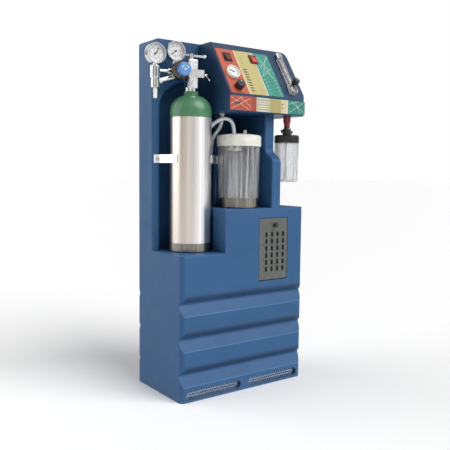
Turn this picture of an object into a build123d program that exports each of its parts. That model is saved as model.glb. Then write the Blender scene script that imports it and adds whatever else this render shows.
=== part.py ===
from build123d import *
import os
from math import acos, atan2, cos, pi, radians, sin, sqrt, tan

# Free-standing oxygen and suction station: a moulded housing with a bay for an oxygen
# cylinder, a shelf for a suction jar, a notch for a humidifier bottle and a sloped console.
# Millimetres, +Z up, front towards -Y, origin at the middle of the footprint on the floor.

# ---------------------------------------------------------------- driving sizes: bought-in items
CYL_D = 111.0              # oxygen cylinder, outside diameter
CYL_STRAIGHT = 367.0       # cylinder foot to the start of the shoulder
CYL_LENGTH = 419.0         # cylinder foot to the top of the neck
CYL_NECK_D = 39.0
JAR_TOP_D = 117.0          # suction jar under its lid
JAR_BASE_D = 110.0
JAR_BODY_H = 169.0
JAR_LID_D = 122.0
BOTTLE_D = 70.0            # humidifier bottle under its lid
BOTTLE_BASE_D = 65.0
BOTTLE_H = 115.0
HOSE_D = 10.0

# ---------------------------------------------------------------- driving sizes: housing
DEPTH = 231.0
HEIGHT = 940.0
WALL = 4.0
CORNER_R = 13.0            # upright corners, seen from above
TOP_R = 18.0               # top corners, seen from the front
LEDGE_Z = 380.0            # floor of the cylinder bay
SHELF_Z = 495.0            # shelf of the jar and bottom of the notch
CONSOLE_H = 189.0          # console underside to the top of the housing
LIP_H = 45.0               # upright front lip of the console
SLOPE_DEG = 57.1           # console face, from the horizontal
SLAB_DEPTH = 85.5          # rear slab behind the bays
RECESS_DEPTH = 33.0        # bays sunk into the slab
STRIP_W = 22.0             # upright bead left of the cylinder bay
RIDGE_W = 14.0             # upright bead between the two bays
BEAD_R = 6.0               # rounding of the beads beside the bays
EDGE_R = 4.0               # rounding of the ledge, shelf, column and console edges
OVERLAP = 10.0             # how far the housing's blocks run into one another
COLUMN_W = 32.0
JAR_RECESS_W = 77.0
CYL_SIDE_GAP = 10.5        # strip to cylinder
CYL_BACK_GAP = 25.5        # cylinder to recess wall
BAY_GAP = 20.5             # cylinder to jar lid, along the width
JAR_SIDE_GAP = 5.0         # jar lid to column
JAR_FRONT_GAP = 4.5        # jar lid to the front face
BOTTLE_SIDE_GAP = 8.5
BOTTLE_OVERHANG = 6.5      # bottle past the front face
CONSOLE_REACH = 80.0       # console left face, from the jar axis
STEP_REACH = 47.0          # step wall at the front, from the cylinder axis
NEST_GAP = 4.0             # cylinder boot to the nest around it
ARCH_SPRING_Z = 760.0      # cylinder recess: start of the arched top
ARCH_RISE = 70.0
COLUMN_STEP_Z = 627.0      # the column's front steps back above this height
COLUMN_STEP_H = 23.0
COLUMN_STEP_BACK = 32.0

# horizontal grooves around the foot, front and back
GROOVE_TOPS = (100.0, 192.0, 284.0)
GROOVE_DEPTH = 15.5
GROOVE_FALL = 28.0         # groove top to its deepest line
GROOVE_H = 60.0

# perforated foot slots
SLOT_L = 174.0
SLOT_H = 24.0
SLOT_Z = 17.5
SLOT_X = 101.0
SLOT_SETBACK = 9.5
GRILLE_T = 1.2
GRILLE_HOLE_D = 5.0
GRILLE_PITCH = 8.0

# filter door in the lower front
DOOR_X = 94.5
DOOR_W = 103.0
DOOR_Z = 294.0
DOOR_H = 174.0
DOOR_T = 5.0
DOOR_GAP = 1.5
DOOR_PIN_R = 1.2
DOOR_KNOB_D = 13.0
LOUVRE_COLUMNS = 4
LOUVRE_ROWS = 6
LOUVRE_PITCH_X = 20.0
LOUVRE_PITCH_Z = 19.3
FILTER_T = 18.0

# general fits
FIT = 0.3                  # loose fit between neighbouring pieces
RUN = 0.05                 # radial running clearance of a shaft
SCREW_R = 2.0
SCREW_HEAD_R = 4.0
SCREW_HEAD_H = 2.2

# ---------------------------------------------------------------- layout worked out from the sizes
NOTCH_W = BOTTLE_D + 2 * BOTTLE_SIDE_GAP
WIDTH = (STRIP_W + CYL_SIDE_GAP + CYL_D + BAY_GAP + JAR_LID_D + JAR_SIDE_GAP
         + COLUMN_W + NOTCH_W)
LEFT = -WIDTH / 2
RIGHT = WIDTH / 2
FRONT = -DEPTH / 2
BACK = DEPTH / 2
SLAB_Y = BACK - SLAB_DEPTH
RECESS_Y = SLAB_Y + RECESS_DEPTH
STRIP_X = LEFT + STRIP_W
CYL_R = CYL_D / 2
CYL_X = STRIP_X + CYL_SIDE_GAP + CYL_R
CYL_Y = RECESS_Y - CYL_BACK_GAP - CYL_R
COLUMN_RIGHT = RIGHT - NOTCH_W
COLUMN_LEFT = COLUMN_RIGHT - COLUMN_W
JAR_LID_R = JAR_LID_D / 2
JAR_X = COLUMN_LEFT - JAR_SIDE_GAP - JAR_LID_R
JAR_Y = FRONT + JAR_FRONT_GAP + JAR_LID_R
BOTTLE_X = (COLUMN_RIGHT + RIGHT) / 2
BOTTLE_Y = FRONT - BOTTLE_OVERHANG + BOTTLE_D / 2
RIDGE_RIGHT = COLUMN_LEFT - JAR_RECESS_W
RIDGE_LEFT = RIDGE_RIGHT - RIDGE_W
CONSOLE_LEFT = JAR_X - CONSOLE_REACH
STEP_X = CYL_X + STEP_REACH
CONSOLE_Z = HEIGHT - CONSOLE_H
LIP_Z = CONSOLE_Z + LIP_H
SLOPE_ANGLE = radians(SLOPE_DEG)
SLOPE_TOP_Y = FRONT + (HEIGHT - LIP_Z) / tan(SLOPE_ANGLE)
BOOT_R = CYL_R + 2.0
NEST_R = BOOT_R + NEST_GAP

# the console face: x along the width, y up the slope from the lip, z out of the face
SLOPE = Plane(origin=(0, FRONT, LIP_Z), x_dir=(1, 0, 0),
              z_dir=(0, -sin(SLOPE_ANGLE), cos(SLOPE_ANGLE)))


# ---------------------------------------------------------------- small helpers
def block(x0, x1, y0, y1, z0, z1):
    """Box between two corners."""
    middle = Pos((x0 + x1) / 2, (y0 + y1) / 2, (z0 + z1) / 2)
    return middle * Box(x1 - x0, y1 - y0, z1 - z0)


def rod(x, y, z0, z1, radius):
    """Upright cylinder from z0 to z1."""
    return Pos(x, y, (z0 + z1) / 2) * Cylinder(radius, z1 - z0)


def ring(x, y, z0, z1, outer, inner):
    """Upright tube from z0 to z1."""
    return rod(x, y, z0, z1, outer) - rod(x, y, z0 - 1, z1 + 1, inner)


def turned(x, y, points):
    """Solid of revolution about an upright axis, from (radius, z) points."""
    section = make_face(Plane.XZ * Polyline(*points, close=True))
    return Pos(x, y, 0) * revolve(section, Axis.Z)


def upright_edges(shape, x, y, low=-1e6, high=1e6):
    """Edges parallel to Z that stand at x, y between two heights."""
    return shape.edges().filter_by(Axis.Z).filter_by(
        lambda e: abs(e.center().X - x) < 0.1 and abs(e.center().Y - y) < 0.1
        and low < e.center().Z < high)


def pan_screw(length):
    """Pan-head screw along +Z with its head's underside at z = 0."""
    head = Pos(0, 0, SCREW_HEAD_H / 2) * Cylinder(SCREW_HEAD_R, SCREW_HEAD_H)
    shank = Pos(0, 0, -length / 2) * Cylinder(SCREW_R - RUN, length)
    cross = (Box(SCREW_HEAD_R, 0.9, 1.2) + Box(0.9, SCREW_HEAD_R, 1.2))
    return head + shank - Pos(0, 0, SCREW_HEAD_H) * cross


def fluted_knob(radius, height, flutes, depth):
    """Round knob along +Z from z = 0 with scalloped sides and a softened top edge."""
    knob = Pos(0, 0, height / 2) * Cylinder(radius, height)
    knob = fillet(knob.edges().group_by(Axis.Z)[-1], height * 0.12)
    for place in PolarLocations(radius + depth, flutes):
        knob -= place * Pos(0, 0, height / 2) * Cylinder(2 * depth, height + 2)
    return knob


# ---------------------------------------------------------------- housing
def groove_cutter(top, grow=0.0):
    """Horizontal groove in the front face: it curves in from above and slopes out below."""
    face_y = FRONT + grow
    upper = TangentArc((face_y, top + grow), (face_y + GROOVE_DEPTH, top - GROOVE_FALL),
                       tangent=(0, -1))
    lower = Polyline((face_y + GROOVE_DEPTH, top - GROOVE_FALL),
                     (face_y, top - GROOVE_H - grow),
                     (face_y - 3 - grow, top - GROOVE_H - grow),
                     (face_y - 3 - grow, top + grow),
                     (face_y, top + grow))
    section = make_face(upper + lower)
    deepest = section.vertices().sort_by(Axis.X)[-1]
    section = fillet(deepest, 6.0)
    return extrude(Plane.YZ * section, WIDTH, both=True)


def groove_cutters(grow=0.0):
    """All grooves, front and back."""
    fronts = [groove_cutter(top, grow) for top in GROOVE_TOPS]
    return fronts + [mirror(cutter, about=Plane.XZ) for cutter in fronts]


def envelope():
    """Outer rounding of the whole housing, seen from above, the front and the side."""
    plan = extrude(RectangleRounded(WIDTH, DEPTH, CORNER_R), HEIGHT)
    tall = HEIGHT + 4 * TOP_R
    front_view = Plane.XZ * Pos(0, HEIGHT - tall / 2) * RectangleRounded(WIDTH, tall, TOP_R)
    side_view = Plane.YZ * Pos(0, HEIGHT - tall / 2) * RectangleRounded(DEPTH, tall, 8.0)
    return plan & extrude(front_view, DEPTH, both=True) & extrude(side_view, WIDTH, both=True)


def cylinder_recess():
    """Cutter for the cylinder bay in the slab: arched top, rounded inner corners."""
    outline = Polyline((RIDGE_LEFT, ARCH_SPRING_Z), (RIDGE_LEFT, LEDGE_Z),
                       (STRIP_X, LEDGE_Z), (STRIP_X, ARCH_SPRING_Z))
    arch = EllipticalCenterArc(((STRIP_X + RIDGE_LEFT) / 2, ARCH_SPRING_Z),
                               (RIDGE_LEFT - STRIP_X) / 2, ARCH_RISE,
                               start_angle=0, arc_size=180)
    face = Plane.XZ * make_face(outline + arch)
    cutter = Pos(0, RECESS_Y, 0) * extrude(face, RECESS_DEPTH + 5)
    rear = cutter.faces().sort_by(Axis.Y)[-1].edges()
    return fillet(rear.filter_by(lambda e: e.center().Z > LEDGE_Z + 1), 14.0)


def slab():
    """Rear slab with its two bays and the beads beside them."""
    body = block(LEFT, RIGHT, SLAB_Y, BACK, LEDGE_Z - OVERLAP, HEIGHT)
    body -= cylinder_recess()
    body -= jar_recess()
    mouth = body.edges().filter_by(
        lambda e: abs(e.center().Y - SLAB_Y) < 0.1 and e.center().Z > LEDGE_Z
        and STRIP_X - 1 < e.bounding_box().min.X and e.bounding_box().max.X < RIDGE_LEFT + 1
        and e.bounding_box().size.Z > 10)
    body = fillet(mouth, BEAD_R)
    body = fillet(upright_edges(body, RIDGE_RIGHT, SLAB_Y), BEAD_R)
    return fillet(upright_edges(body, LEFT, SLAB_Y), 1.5 * BEAD_R)


def jar_recess():
    """Cutter for the bay behind the jar."""
    cutter = block(RIDGE_RIGHT, COLUMN_LEFT, SLAB_Y - 5, RECESS_Y, SHELF_Z, CONSOLE_Z)
    edges = cutter.edges().filter_by(Axis.Z).group_by(Axis.Y)[-1]
    return fillet(edges, 14.0)


def column():
    """Upright between the jar and the notch; its front steps back half-way up."""
    step_top = COLUMN_STEP_Z + COLUMN_STEP_H
    upper_y = FRONT + COLUMN_STEP_BACK
    low, high = SHELF_Z - OVERLAP, CONSOLE_Z + OVERLAP
    outline = Polyline((SLAB_Y + 1, low), (FRONT, low), (FRONT, COLUMN_STEP_Z),
                       (upper_y, step_top), (upper_y, high), (SLAB_Y + 1, high), close=True)
    section = make_face(outline)
    bends = section.vertices().filter_by(
        lambda v: COLUMN_STEP_Z - 1 < v.Y < step_top + 1)
    section = fillet(bends, 16.0)
    body = extrude(Plane.YZ * section, COLUMN_W)
    front = body.edges().filter_by(
        lambda e: e.bounding_box().max.Y < SLAB_Y - 1 and e.bounding_box().size.Z > 1)
    return Pos(COLUMN_LEFT, 0, 0) * fillet(front, EDGE_R)


def console_section(inset=0.0):
    """Side view of the console: underside, front lip, sloped face and top."""
    top = HEIGHT - inset
    lean = inset / sin(SLOPE_ANGLE) - inset / tan(SLOPE_ANGLE)
    lip_z = LIP_Z - inset / cos(SLOPE_ANGLE) + inset * tan(SLOPE_ANGLE)
    outline = Polyline((BACK - inset, CONSOLE_Z + inset), (FRONT + inset, CONSOLE_Z + inset),
                       (FRONT + inset, lip_z), (SLOPE_TOP_Y + lean, top),
                       (BACK - inset, top), close=True)
    section = make_face(outline)
    lip_corners = section.vertices().sort_by(Axis.X)[:2]
    section = fillet(lip_corners, 5.0)
    crest = section.vertices().filter_by(lambda v: abs(v.X - SLOPE_TOP_Y - lean) < 0.1)
    return Plane.YZ * fillet(crest, 8.0)


def console():
    """Console over the jar and the notch."""
    body = extrude(console_section(), RIGHT - CONSOLE_LEFT)
    left = body.faces().sort_by(Axis.X)[0].edges()
    body = fillet(left.filter_by(lambda e: e.center().Y < BACK - 1), EDGE_R)
    return Pos(CONSOLE_LEFT, 0, 0) * body


def foot_block():
    """Lower part of the housing, with a rounded ledge."""
    body = block(LEFT, RIGHT, FRONT, BACK, 0, LEDGE_Z)
    ledge = body.edges().group_by(Axis.Z)[-1]
    return fillet(ledge.sort_by(Axis.Y)[0], EDGE_R)


def shelf_block():
    """Foot of the jar bay and the notch, hollowed around the cylinder's boot."""
    body = block(STEP_X, RIGHT, FRONT, BACK, LEDGE_Z - OVERLAP, SHELF_Z)
    body -= rod(CYL_X, CYL_Y, LEDGE_Z, SHELF_Z + 1, NEST_R)
    top = body.edges().group_by(Axis.Z)[-1]
    return fillet(top.filter_by(lambda e: e.center().Y < SLAB_Y and e.center().X < RIGHT - 1), EDGE_R)


def notch():
    """Gap through the right-hand side, behind and under the humidifier bottle."""
    cutter = block(COLUMN_RIGHT, RIGHT + 1, FRONT - 1, BACK + 1, SHELF_Z, CONSOLE_Z)
    return fillet(cutter.edges().filter_by(Axis.Y).group_by(Axis.X)[0], 6.0)


def outer_form():
    """Outside of the housing before it is hollowed."""
    body = foot_block() + shelf_block() + slab() + column()
    body -= notch()
    body += console()
    body = body & envelope()
    for cutter in groove_cutters():
        body -= cutter
    return body


def cavity():
    """Hollow inside the housing, open at the bottom."""
    foot = block(LEFT + WALL, RIGHT - WALL, FRONT + WALL, BACK - WALL, -1, LEDGE_Z - WALL)
    for cutter in groove_cutters(WALL):
        foot -= cutter
    shelf = block(STEP_X + WALL, RIGHT - WALL, FRONT + WALL, BACK - WALL,
                  LEDGE_Z - WALL - 1, SHELF_Z - WALL)
    shelf -= rod(CYL_X, CYL_Y, LEDGE_Z - 2 * WALL, SHELF_Z, NEST_R + WALL)
    rear = block(LEFT + WALL, COLUMN_RIGHT - WALL, RECESS_Y + WALL, BACK - WALL,
                 LEDGE_Z - WALL - 1, CONSOLE_Z + WALL + 1)
    shaft = block(COLUMN_LEFT + WALL, COLUMN_RIGHT - WALL,
                  FRONT + COLUMN_STEP_BACK + WALL, RECESS_Y + WALL + 1,
                  SHELF_Z - WALL - 1, CONSOLE_Z + WALL + 1)
    head = Pos(CONSOLE_LEFT + WALL, 0, 0) * extrude(
        console_section(WALL), RIGHT - CONSOLE_LEFT - 2 * WALL)
    crown = block(LEFT + WALL + TOP_R / 2, CONSOLE_LEFT + WALL + 1, RECESS_Y + WALL, BACK - WALL,
                  CONSOLE_Z, HEIGHT - WALL)
    return foot + shelf + rear + shaft + head + crown


def boss_places():
    """Where the base plate is screwed to the housing."""
    x = RIGHT - WALL - 10.0
    y = DEPTH / 2 - 36.0
    return [(side * x, end * y) for side in (-1, 1) for end in (-1, 1)]


BASE_PLATE_T = 4.0
BASE_REBATE = 2.0          # how far the base plate reaches under the wall
BOSS_R = 11.0
BOSS_H = 26.0


def base_outline(shrink):
    """Outline of the base plate's seat, shrunk by a clearance."""
    width = WIDTH - 2 * (WALL - BASE_REBATE + shrink)
    depth = DEPTH - 2 * (WALL - BASE_REBATE + shrink)
    return RectangleRounded(width, depth, CORNER_R - WALL + BASE_REBATE)


def slot_outline(grow):
    """Foot slot's rounded-end outline, as a prism along -Y at the middle of the front."""
    return Plane.XZ * SlotOverall(SLOT_L + 2 * grow, SLOT_H + 2 * grow)


def slot_prism(side, grow, y0, y1):
    """Foot slot's prism between two depths."""
    return Pos(side * SLOT_X, y1, SLOT_Z) * extrude(slot_outline(grow), y1 - y0)


def door_frame():
    """Frame inside the housing that holds the filter behind the door."""
    x0, x1 = DOOR_X - DOOR_W / 2, DOOR_X + DOOR_W / 2
    z0, z1 = DOOR_Z, DOOR_Z + DOOR_H
    back_y = FRONT + DOOR_T + 1 + FILTER_T + 4
    frame = block(x0 - 5, x1 + 5, FRONT + WALL - 1, back_y, z0 - 5, z1 + 5)
    return frame


def door_pocket():
    """Room for the door, the filter and the air behind it."""
    x0, x1 = DOOR_X - DOOR_W / 2, DOOR_X + DOOR_W / 2
    z0, z1 = DOOR_Z, DOOR_Z + DOOR_H
    filter_y = FRONT + DOOR_T + 1
    door = block(x0, x1, FRONT - 1, filter_y, z0, z1)
    bed = block(x0 + 6, x1 - 6, filter_y - 1, filter_y + FILTER_T + FIT, z0 + 8, z1 - 6)
    duct = block(x0 + 12, x1 - 12, filter_y, filter_y + FILTER_T + 20, z0 + 14, z1 - 12)
    return door + bed + duct


REAR_COVER = (-150.0, 70.0, 420.0, 700.0)     # x from, x to, z from, z to
REAR_COVER_T = 2.0
INLET_X = 150.0
INLET_Z = 335.0
INLET_W = 27.0
INLET_H = 20.0


def rear_cover_screw_places():
    """Screws down both sides of the rear cover."""
    x0, x1, z0, z1 = REAR_COVER
    heights = (z0 + 12, (z0 + z1) / 2, z1 - 12)
    return [(x, z) for x in (x0 + 7, x1 - 7) for z in heights]


def housing():
    """Moulded housing with its cavity, openings and bosses."""
    body = outer_form() - cavity()
    for x, y in boss_places():
        body += rod(x, y, BASE_PLATE_T, BASE_PLATE_T + BOSS_H, BOSS_R)
        body -= rod(x, y, 0, BASE_PLATE_T + 16, SCREW_R)
    for side in (-1, 1):
        inner_y = FRONT + SLOT_SETBACK
        body += slot_prism(side, 3.5, FRONT + WALL - 1, inner_y)
        body -= slot_prism(side, 0, FRONT - 1, inner_y + 1)
        body -= slot_prism(side, 1.5, inner_y - GRILLE_T, inner_y + 1)
    body -= extrude(base_outline(0), BASE_PLATE_T)
    body += door_frame()
    body -= door_pocket()
    pin_y, pin_z = door_axis()
    pin_hole = Rot(0, 90, 0) * Cylinder(DOOR_PIN_R + RUN, DOOR_W + 8)
    body -= Pos(DOOR_X, pin_y, pin_z) * pin_hole
    x0, x1, z0, z1 = REAR_COVER
    body -= block(x0, x1, BACK - REAR_COVER_T, BACK + 1, z0, z1)
    body -= block(x0 + 14, x1 - 14, BACK - WALL - 1, BACK, z0 + 14, z1 - 14)
    for x, z in rear_cover_screw_places():
        body -= Pos(x, BACK, z) * Rot(90, 0, 0) * Cylinder(SCREW_R, 2 * WALL + 2)
    body -= block(INLET_X - INLET_W / 2, INLET_X + INLET_W / 2, BACK - WALL - 1, BACK + 1,
                  INLET_Z - INLET_H / 2, INLET_Z + INLET_H / 2)
    for x in clamp_screw_xs():
        body -= Pos(x, SLAB_Y, CLAMP_Z) * Rot(90, 0, 0) * Cylinder(SCREW_R, 20)
    return body - console_holes()


def base_plate():
    """Steel plate that closes the bottom and carries the pump."""
    plate = extrude(base_outline(FIT), BASE_PLATE_T)
    for x, y in boss_places():
        plate -= rod(x, y, -1, BASE_PLATE_T + 1, SCREW_R + 0.2)
        plate -= rod(x, y, -1, SCREW_HEAD_H + 0.4, SCREW_HEAD_R + 0.4)
    for x, y in pump_foot_places():
        plate -= rod(x, y, -1, BASE_PLATE_T + 1, FOOT_STUD_R + 0.2)
    return plate


def rear_cover():
    """Flat cover over the opening in the back, with cooling slots."""
    x0, x1, z0, z1 = REAR_COVER
    cover = block(x0 + FIT, x1 - FIT, BACK - REAR_COVER_T, BACK, z0 + FIT, z1 - FIT)
    for x, z in rear_cover_screw_places():
        cover -= Pos(x, BACK, z) * Rot(90, 0, 0) * Cylinder(SCREW_R + 0.2, 8)
    slot = Rot(90, 0, 0) * extrude(SlotOverall(60, 5), 10, both=True)
    for place in GridLocations(80, 12, 2, 6):
        at = place.position
        cover -= Pos((x0 + x1) / 2 + at.X, BACK, z1 - 60 + at.Y) * slot
    return cover


def cover_screws():
    """Pan-head screws of the base plate and the rear cover."""
    screws = []
    for x, y in boss_places():
        screws.append(Pos(x, y, SCREW_HEAD_H + 0.4) * Rot(180, 0, 0) * pan_screw(12))
    for x, z in rear_cover_screw_places():
        screws.append(Pos(x, BACK, z) * Rot(90, 0, 0) * Rot(180, 0, 0) * pan_screw(9))
    return screws


def foot_grille(side):
    """Perforated plate at the back of a foot slot."""
    inner_y = FRONT + SLOT_SETBACK
    plate = slot_prism(side, 1.5 - FIT, inner_y - GRILLE_T, inner_y)
    hole = Rot(90, 0, 0) * Cylinder(GRILLE_HOLE_D / 2, 4 * GRILLE_T)
    columns = int((SLOT_L - 2 * GRILLE_HOLE_D) / GRILLE_PITCH)
    rows = int((SLOT_H - GRILLE_HOLE_D / 2) / (GRILLE_PITCH * 0.87))
    holes = []
    for row in range(rows):
        count = columns - row % 2
        for column in range(count):
            x = side * SLOT_X + (column - (count - 1) / 2) * GRILLE_PITCH
            z = SLOT_Z + (row - (rows - 1) / 2) * GRILLE_PITCH * 0.87
            holes.append(Pos(x, inner_y - GRILLE_T / 2, z) * hole)
    return plate - holes


# ---------------------------------------------------------------- filter door
def door_axis():
    """Hinge line of the filter door, along its lower edge."""
    return FRONT + 0.5 + DOOR_T / 2, DOOR_Z + DOOR_GAP + DOOR_T / 2


def filter_door():
    """Door with a grid of slots; its lower edge is rounded about the hinge line."""
    pin_y, pin_z = door_axis()
    width = DOOR_W - 2 * DOOR_GAP
    top_z = DOOR_Z + DOOR_H - DOOR_GAP
    x0, x1 = DOOR_X - width / 2, DOOR_X + width / 2
    door = block(x0, x1, pin_y - DOOR_T / 2, pin_y + DOOR_T / 2, pin_z, top_z)
    door += Pos(DOOR_X, pin_y, pin_z) * Rot(0, 90, 0) * Cylinder(DOOR_T / 2, width)
    grid = GridLocations(LOUVRE_PITCH_X, LOUVRE_PITCH_Z, LOUVRE_COLUMNS, LOUVRE_ROWS)
    middle_z = top_z - 93.0
    for place in grid:
        x, z = DOOR_X + 5 + place.position.X, middle_z + place.position.Y
        door -= block(x - 4, x + 4, pin_y - DOOR_T, pin_y + DOOR_T, z - 6.5, z + 6.5)
    rib_l = LOUVRE_PITCH_X * LOUVRE_COLUMNS
    for row in range(LOUVRE_ROWS - 1):
        z = middle_z + (row - (LOUVRE_ROWS - 2) / 2) * LOUVRE_PITCH_Z
        rib = block(DOOR_X + 5 - rib_l / 2, DOOR_X + 5 + rib_l / 2,
                    pin_y - DOOR_T / 2 - 1.0, pin_y - DOOR_T / 2 + 0.5, z - 1.6, z + 1.6)
        door += rib
    door -= Pos(DOOR_X, pin_y, pin_z) * Rot(0, 90, 0) * Cylinder(DOOR_PIN_R + RUN, width + 2)
    knob_z = top_z - 19.0
    door -= Pos(DOOR_X + 3, pin_y, knob_z) * Rot(90, 0, 0) * Cylinder(2.0, 3 * DOOR_T)
    return door


def door_knob():
    """Pull knob with a stud through the door."""
    pin_y, _ = door_axis()
    face_y = pin_y - DOOR_T / 2
    knob_z = DOOR_Z + DOOR_H - DOOR_GAP - 19.0
    radius = DOOR_KNOB_D / 2
    profile = [(0, -DOOR_T - 0.5), (1.9, -DOOR_T - 0.5), (1.9, 0), (radius * 0.55, 0),
               (radius * 0.5, 4), (radius, 6), (radius, 9), (radius * 0.8, 11), (0, 11.6)]
    body = revolve(make_face(Plane.XZ * Polyline(*profile, close=True)), Axis.Z)
    return Pos(DOOR_X + 3, face_y, knob_z) * Rot(90, 0, 0) * body


def door_pin():
    """Hinge pin through the door's lower edge, held in the frame."""
    pin_y, pin_z = door_axis()
    return Pos(DOOR_X, pin_y, pin_z) * Rot(0, 90, 0) * Cylinder(DOOR_PIN_R, DOOR_W + 7)


def filter_foam():
    """Dust filter behind the door."""
    x0, x1 = DOOR_X - DOOR_W / 2 + 6, DOOR_X + DOOR_W / 2 - 6
    filter_y = FRONT + DOOR_T + 1
    return block(x0 + FIT, x1 - FIT, filter_y + FIT, filter_y + FILTER_T,
                 DOOR_Z + 8 + FIT, DOOR_Z + DOOR_H - 6 - FIT)


# ---------------------------------------------------------------- console face
PANEL_T = 1.2
PANEL_RIGHT_GAP = 79.0     # panel to the right-hand side
PANEL_S0 = 2.0
PANEL_S1 = 150.0
PANEL_LEFT_GAP = 6.0
LIP_PANEL_H = 37.0

VACUUM_GAUGE = (33.0, 68.0)       # from the console's left face, up the slope
VACUUM_GAUGE_R = 19.5
VACUUM_KNOB = (35.0, 22.0)
POWER_ROCKER = (37.0, 122.0)
RED_ROCKER = (126.0, 124.5)
FLOWMETER = 40.0                  # from the right-hand side
ROCKER_W = 26.0
ROCKER_L = 29.0
ROCKER_DEPTH = 22.0
ROCKER_TILT = 10.0
GAUGE_STEM_R = 6.0
VALVE_STEM_R = 5.0
FLOW_S0 = 13.0
FLOW_S1 = 153.0
FLOW_W = 19.0
FLOW_H = 12.0
FLOW_BLOCK_S = 45.0
FLOW_CAP_S = 136.0
FLOW_BORE_R = 3.6
FLOAT_R = 3.3
FLOW_KNOB_R = 9.0


def from_left(spot):
    """Place on the console face from its distance to the console's left face."""
    return CONSOLE_LEFT + spot[0], spot[1]


def on_slope(x, s, h, shape):
    """Put a shape built at the origin on the console face."""
    return SLOPE * Pos(x, s, h) * shape


def rocker_places():
    """Middle of each rocker switch on the console face."""
    return [from_left(POWER_ROCKER), from_left(RED_ROCKER)]


def console_holes():
    """Holes in the console for the controls and the connections under it."""
    gauge_x, gauge_s = from_left(VACUUM_GAUGE)
    knob_x, knob_s = from_left(VACUUM_KNOB)
    through = 4 * WALL
    holes = [on_slope(gauge_x, gauge_s, 0, Cylinder(GAUGE_STEM_R + FIT, through)),
             on_slope(knob_x, knob_s, 0, Cylinder(VALVE_STEM_R + FIT, through))]
    for x, s in rocker_places():
        holes.append(on_slope(x, s, 0, Box(ROCKER_W - 3, ROCKER_L - 3, through)))
    flow_x = RIGHT - FLOWMETER
    for s in (FLOW_S0 + 12, FLOW_CAP_S + 8):
        holes.append(on_slope(flow_x, s, 0, Cylinder(3 + FIT, through)))
    holes.append(rod(BOTTLE_X, BOTTLE_Y, CONSOLE_Z - 1, CONSOLE_Z + 2 * WALL, 6 + FIT))
    holes.append(rod(PORT_X, PORT_Y, CONSOLE_Z - 1, CONSOLE_Z + 2 * WALL, PORT_R + FIT))
    return holes


def console_panel():
    """Printed panel on the sloped face, with openings for the controls."""
    x0, x1 = CONSOLE_LEFT + PANEL_LEFT_GAP, RIGHT - PANEL_RIGHT_GAP
    plate = extrude(RectangleRounded(x1 - x0, PANEL_S1 - PANEL_S0, 4.0), PANEL_T)
    panel = on_slope((x0 + x1) / 2, (PANEL_S0 + PANEL_S1) / 2, 0, plate)
    gauge_x, gauge_s = from_left(VACUUM_GAUGE)
    knob_x, knob_s = from_left(VACUUM_KNOB)
    panel -= on_slope(gauge_x, gauge_s, 0, Cylinder(GAUGE_STEM_R + FIT, 8))
    panel -= on_slope(knob_x, knob_s, 0, Cylinder(VALVE_STEM_R + FIT, 8))
    for x, s in rocker_places():
        panel -= on_slope(x, s, 0, Box(ROCKER_W - 3, ROCKER_L - 3, 8))
    return panel


def lip_panel():
    """Printed strip on the upright front lip."""
    middle_z = CONSOLE_Z + LIP_H / 2 - 1
    strip = Plane.XZ * RectangleRounded(RIGHT - CONSOLE_LEFT - 4, LIP_PANEL_H, 2.0)
    return Pos((RIGHT + CONSOLE_LEFT) / 2 - 2, FRONT, middle_z) * extrude(strip, 1.0)


def rocker_bezels():
    """Frames and bodies of both rocker switches."""
    inner_w, inner_l = ROCKER_W - 8, ROCKER_L - 6
    rim = extrude(RectangleRounded(ROCKER_W, ROCKER_L, 2.0), 2.0)
    body = Pos(0, 0, -ROCKER_DEPTH / 2) * Box(ROCKER_W - 3 - FIT, ROCKER_L - 3 - FIT,
                                              ROCKER_DEPTH)
    well = Pos(0, 0, -4) * Box(inner_w, inner_l, 20)
    shape = rim + body - well
    tabs = Compound([Pos(x, 0, -18) * Box(1, 6, 10) for x in (-6, 6)])
    shape = shape + tabs
    return Compound([on_slope(x, s, PANEL_T, shape) for x, s in rocker_places()])


def rocker(place):
    """Rocker pressed down at its upper end, turning about a line across the switch."""
    inner_w, inner_l = ROCKER_W - 8, ROCKER_L - 6
    radius = inner_l / 2 - FIT
    drum = Rot(0, 90, 0) * Cylinder(radius, inner_w - 2 * FIT)
    keep = Pos(0, 0, -4.5 + 6) * Box(60, 60, 12)
    paddle = drum & keep
    for way in (-1, 1):
        slope_cut = Pos(0, 0, 4.5) * Rot(way * ROCKER_TILT, 0, 0) * Pos(0, 0, 10) * Box(60, 80, 20)
        paddle -= slope_cut & block(-30, 30, min(0, -way * 60), max(0, -way * 60), -30, 30)
    x, s = place
    return on_slope(x, s, PANEL_T + 1.0, Rot(-ROCKER_TILT, 0, 0) * paddle)


# ---------------------------------------------------------------- gauges
GAUGE_NEEDLE_R = 2.4


def gauge_case(radius, depth):
    """Round gauge case facing +Z: rim, floor and the pin that the needle turns on."""
    wall = radius * 0.09
    case = Pos(0, 0, depth / 2) * Cylinder(radius, depth)
    case = fillet(case.edges().group_by(Axis.Z)[0], depth * 0.15)
    floor_z = depth * 0.55
    case -= Pos(0, 0, floor_z + depth / 2) * Cylinder(radius - wall, depth)
    pin_top = floor_z + depth * 0.22
    return case + rod(0, 0, floor_z - 1, pin_top, 0.8)


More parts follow.
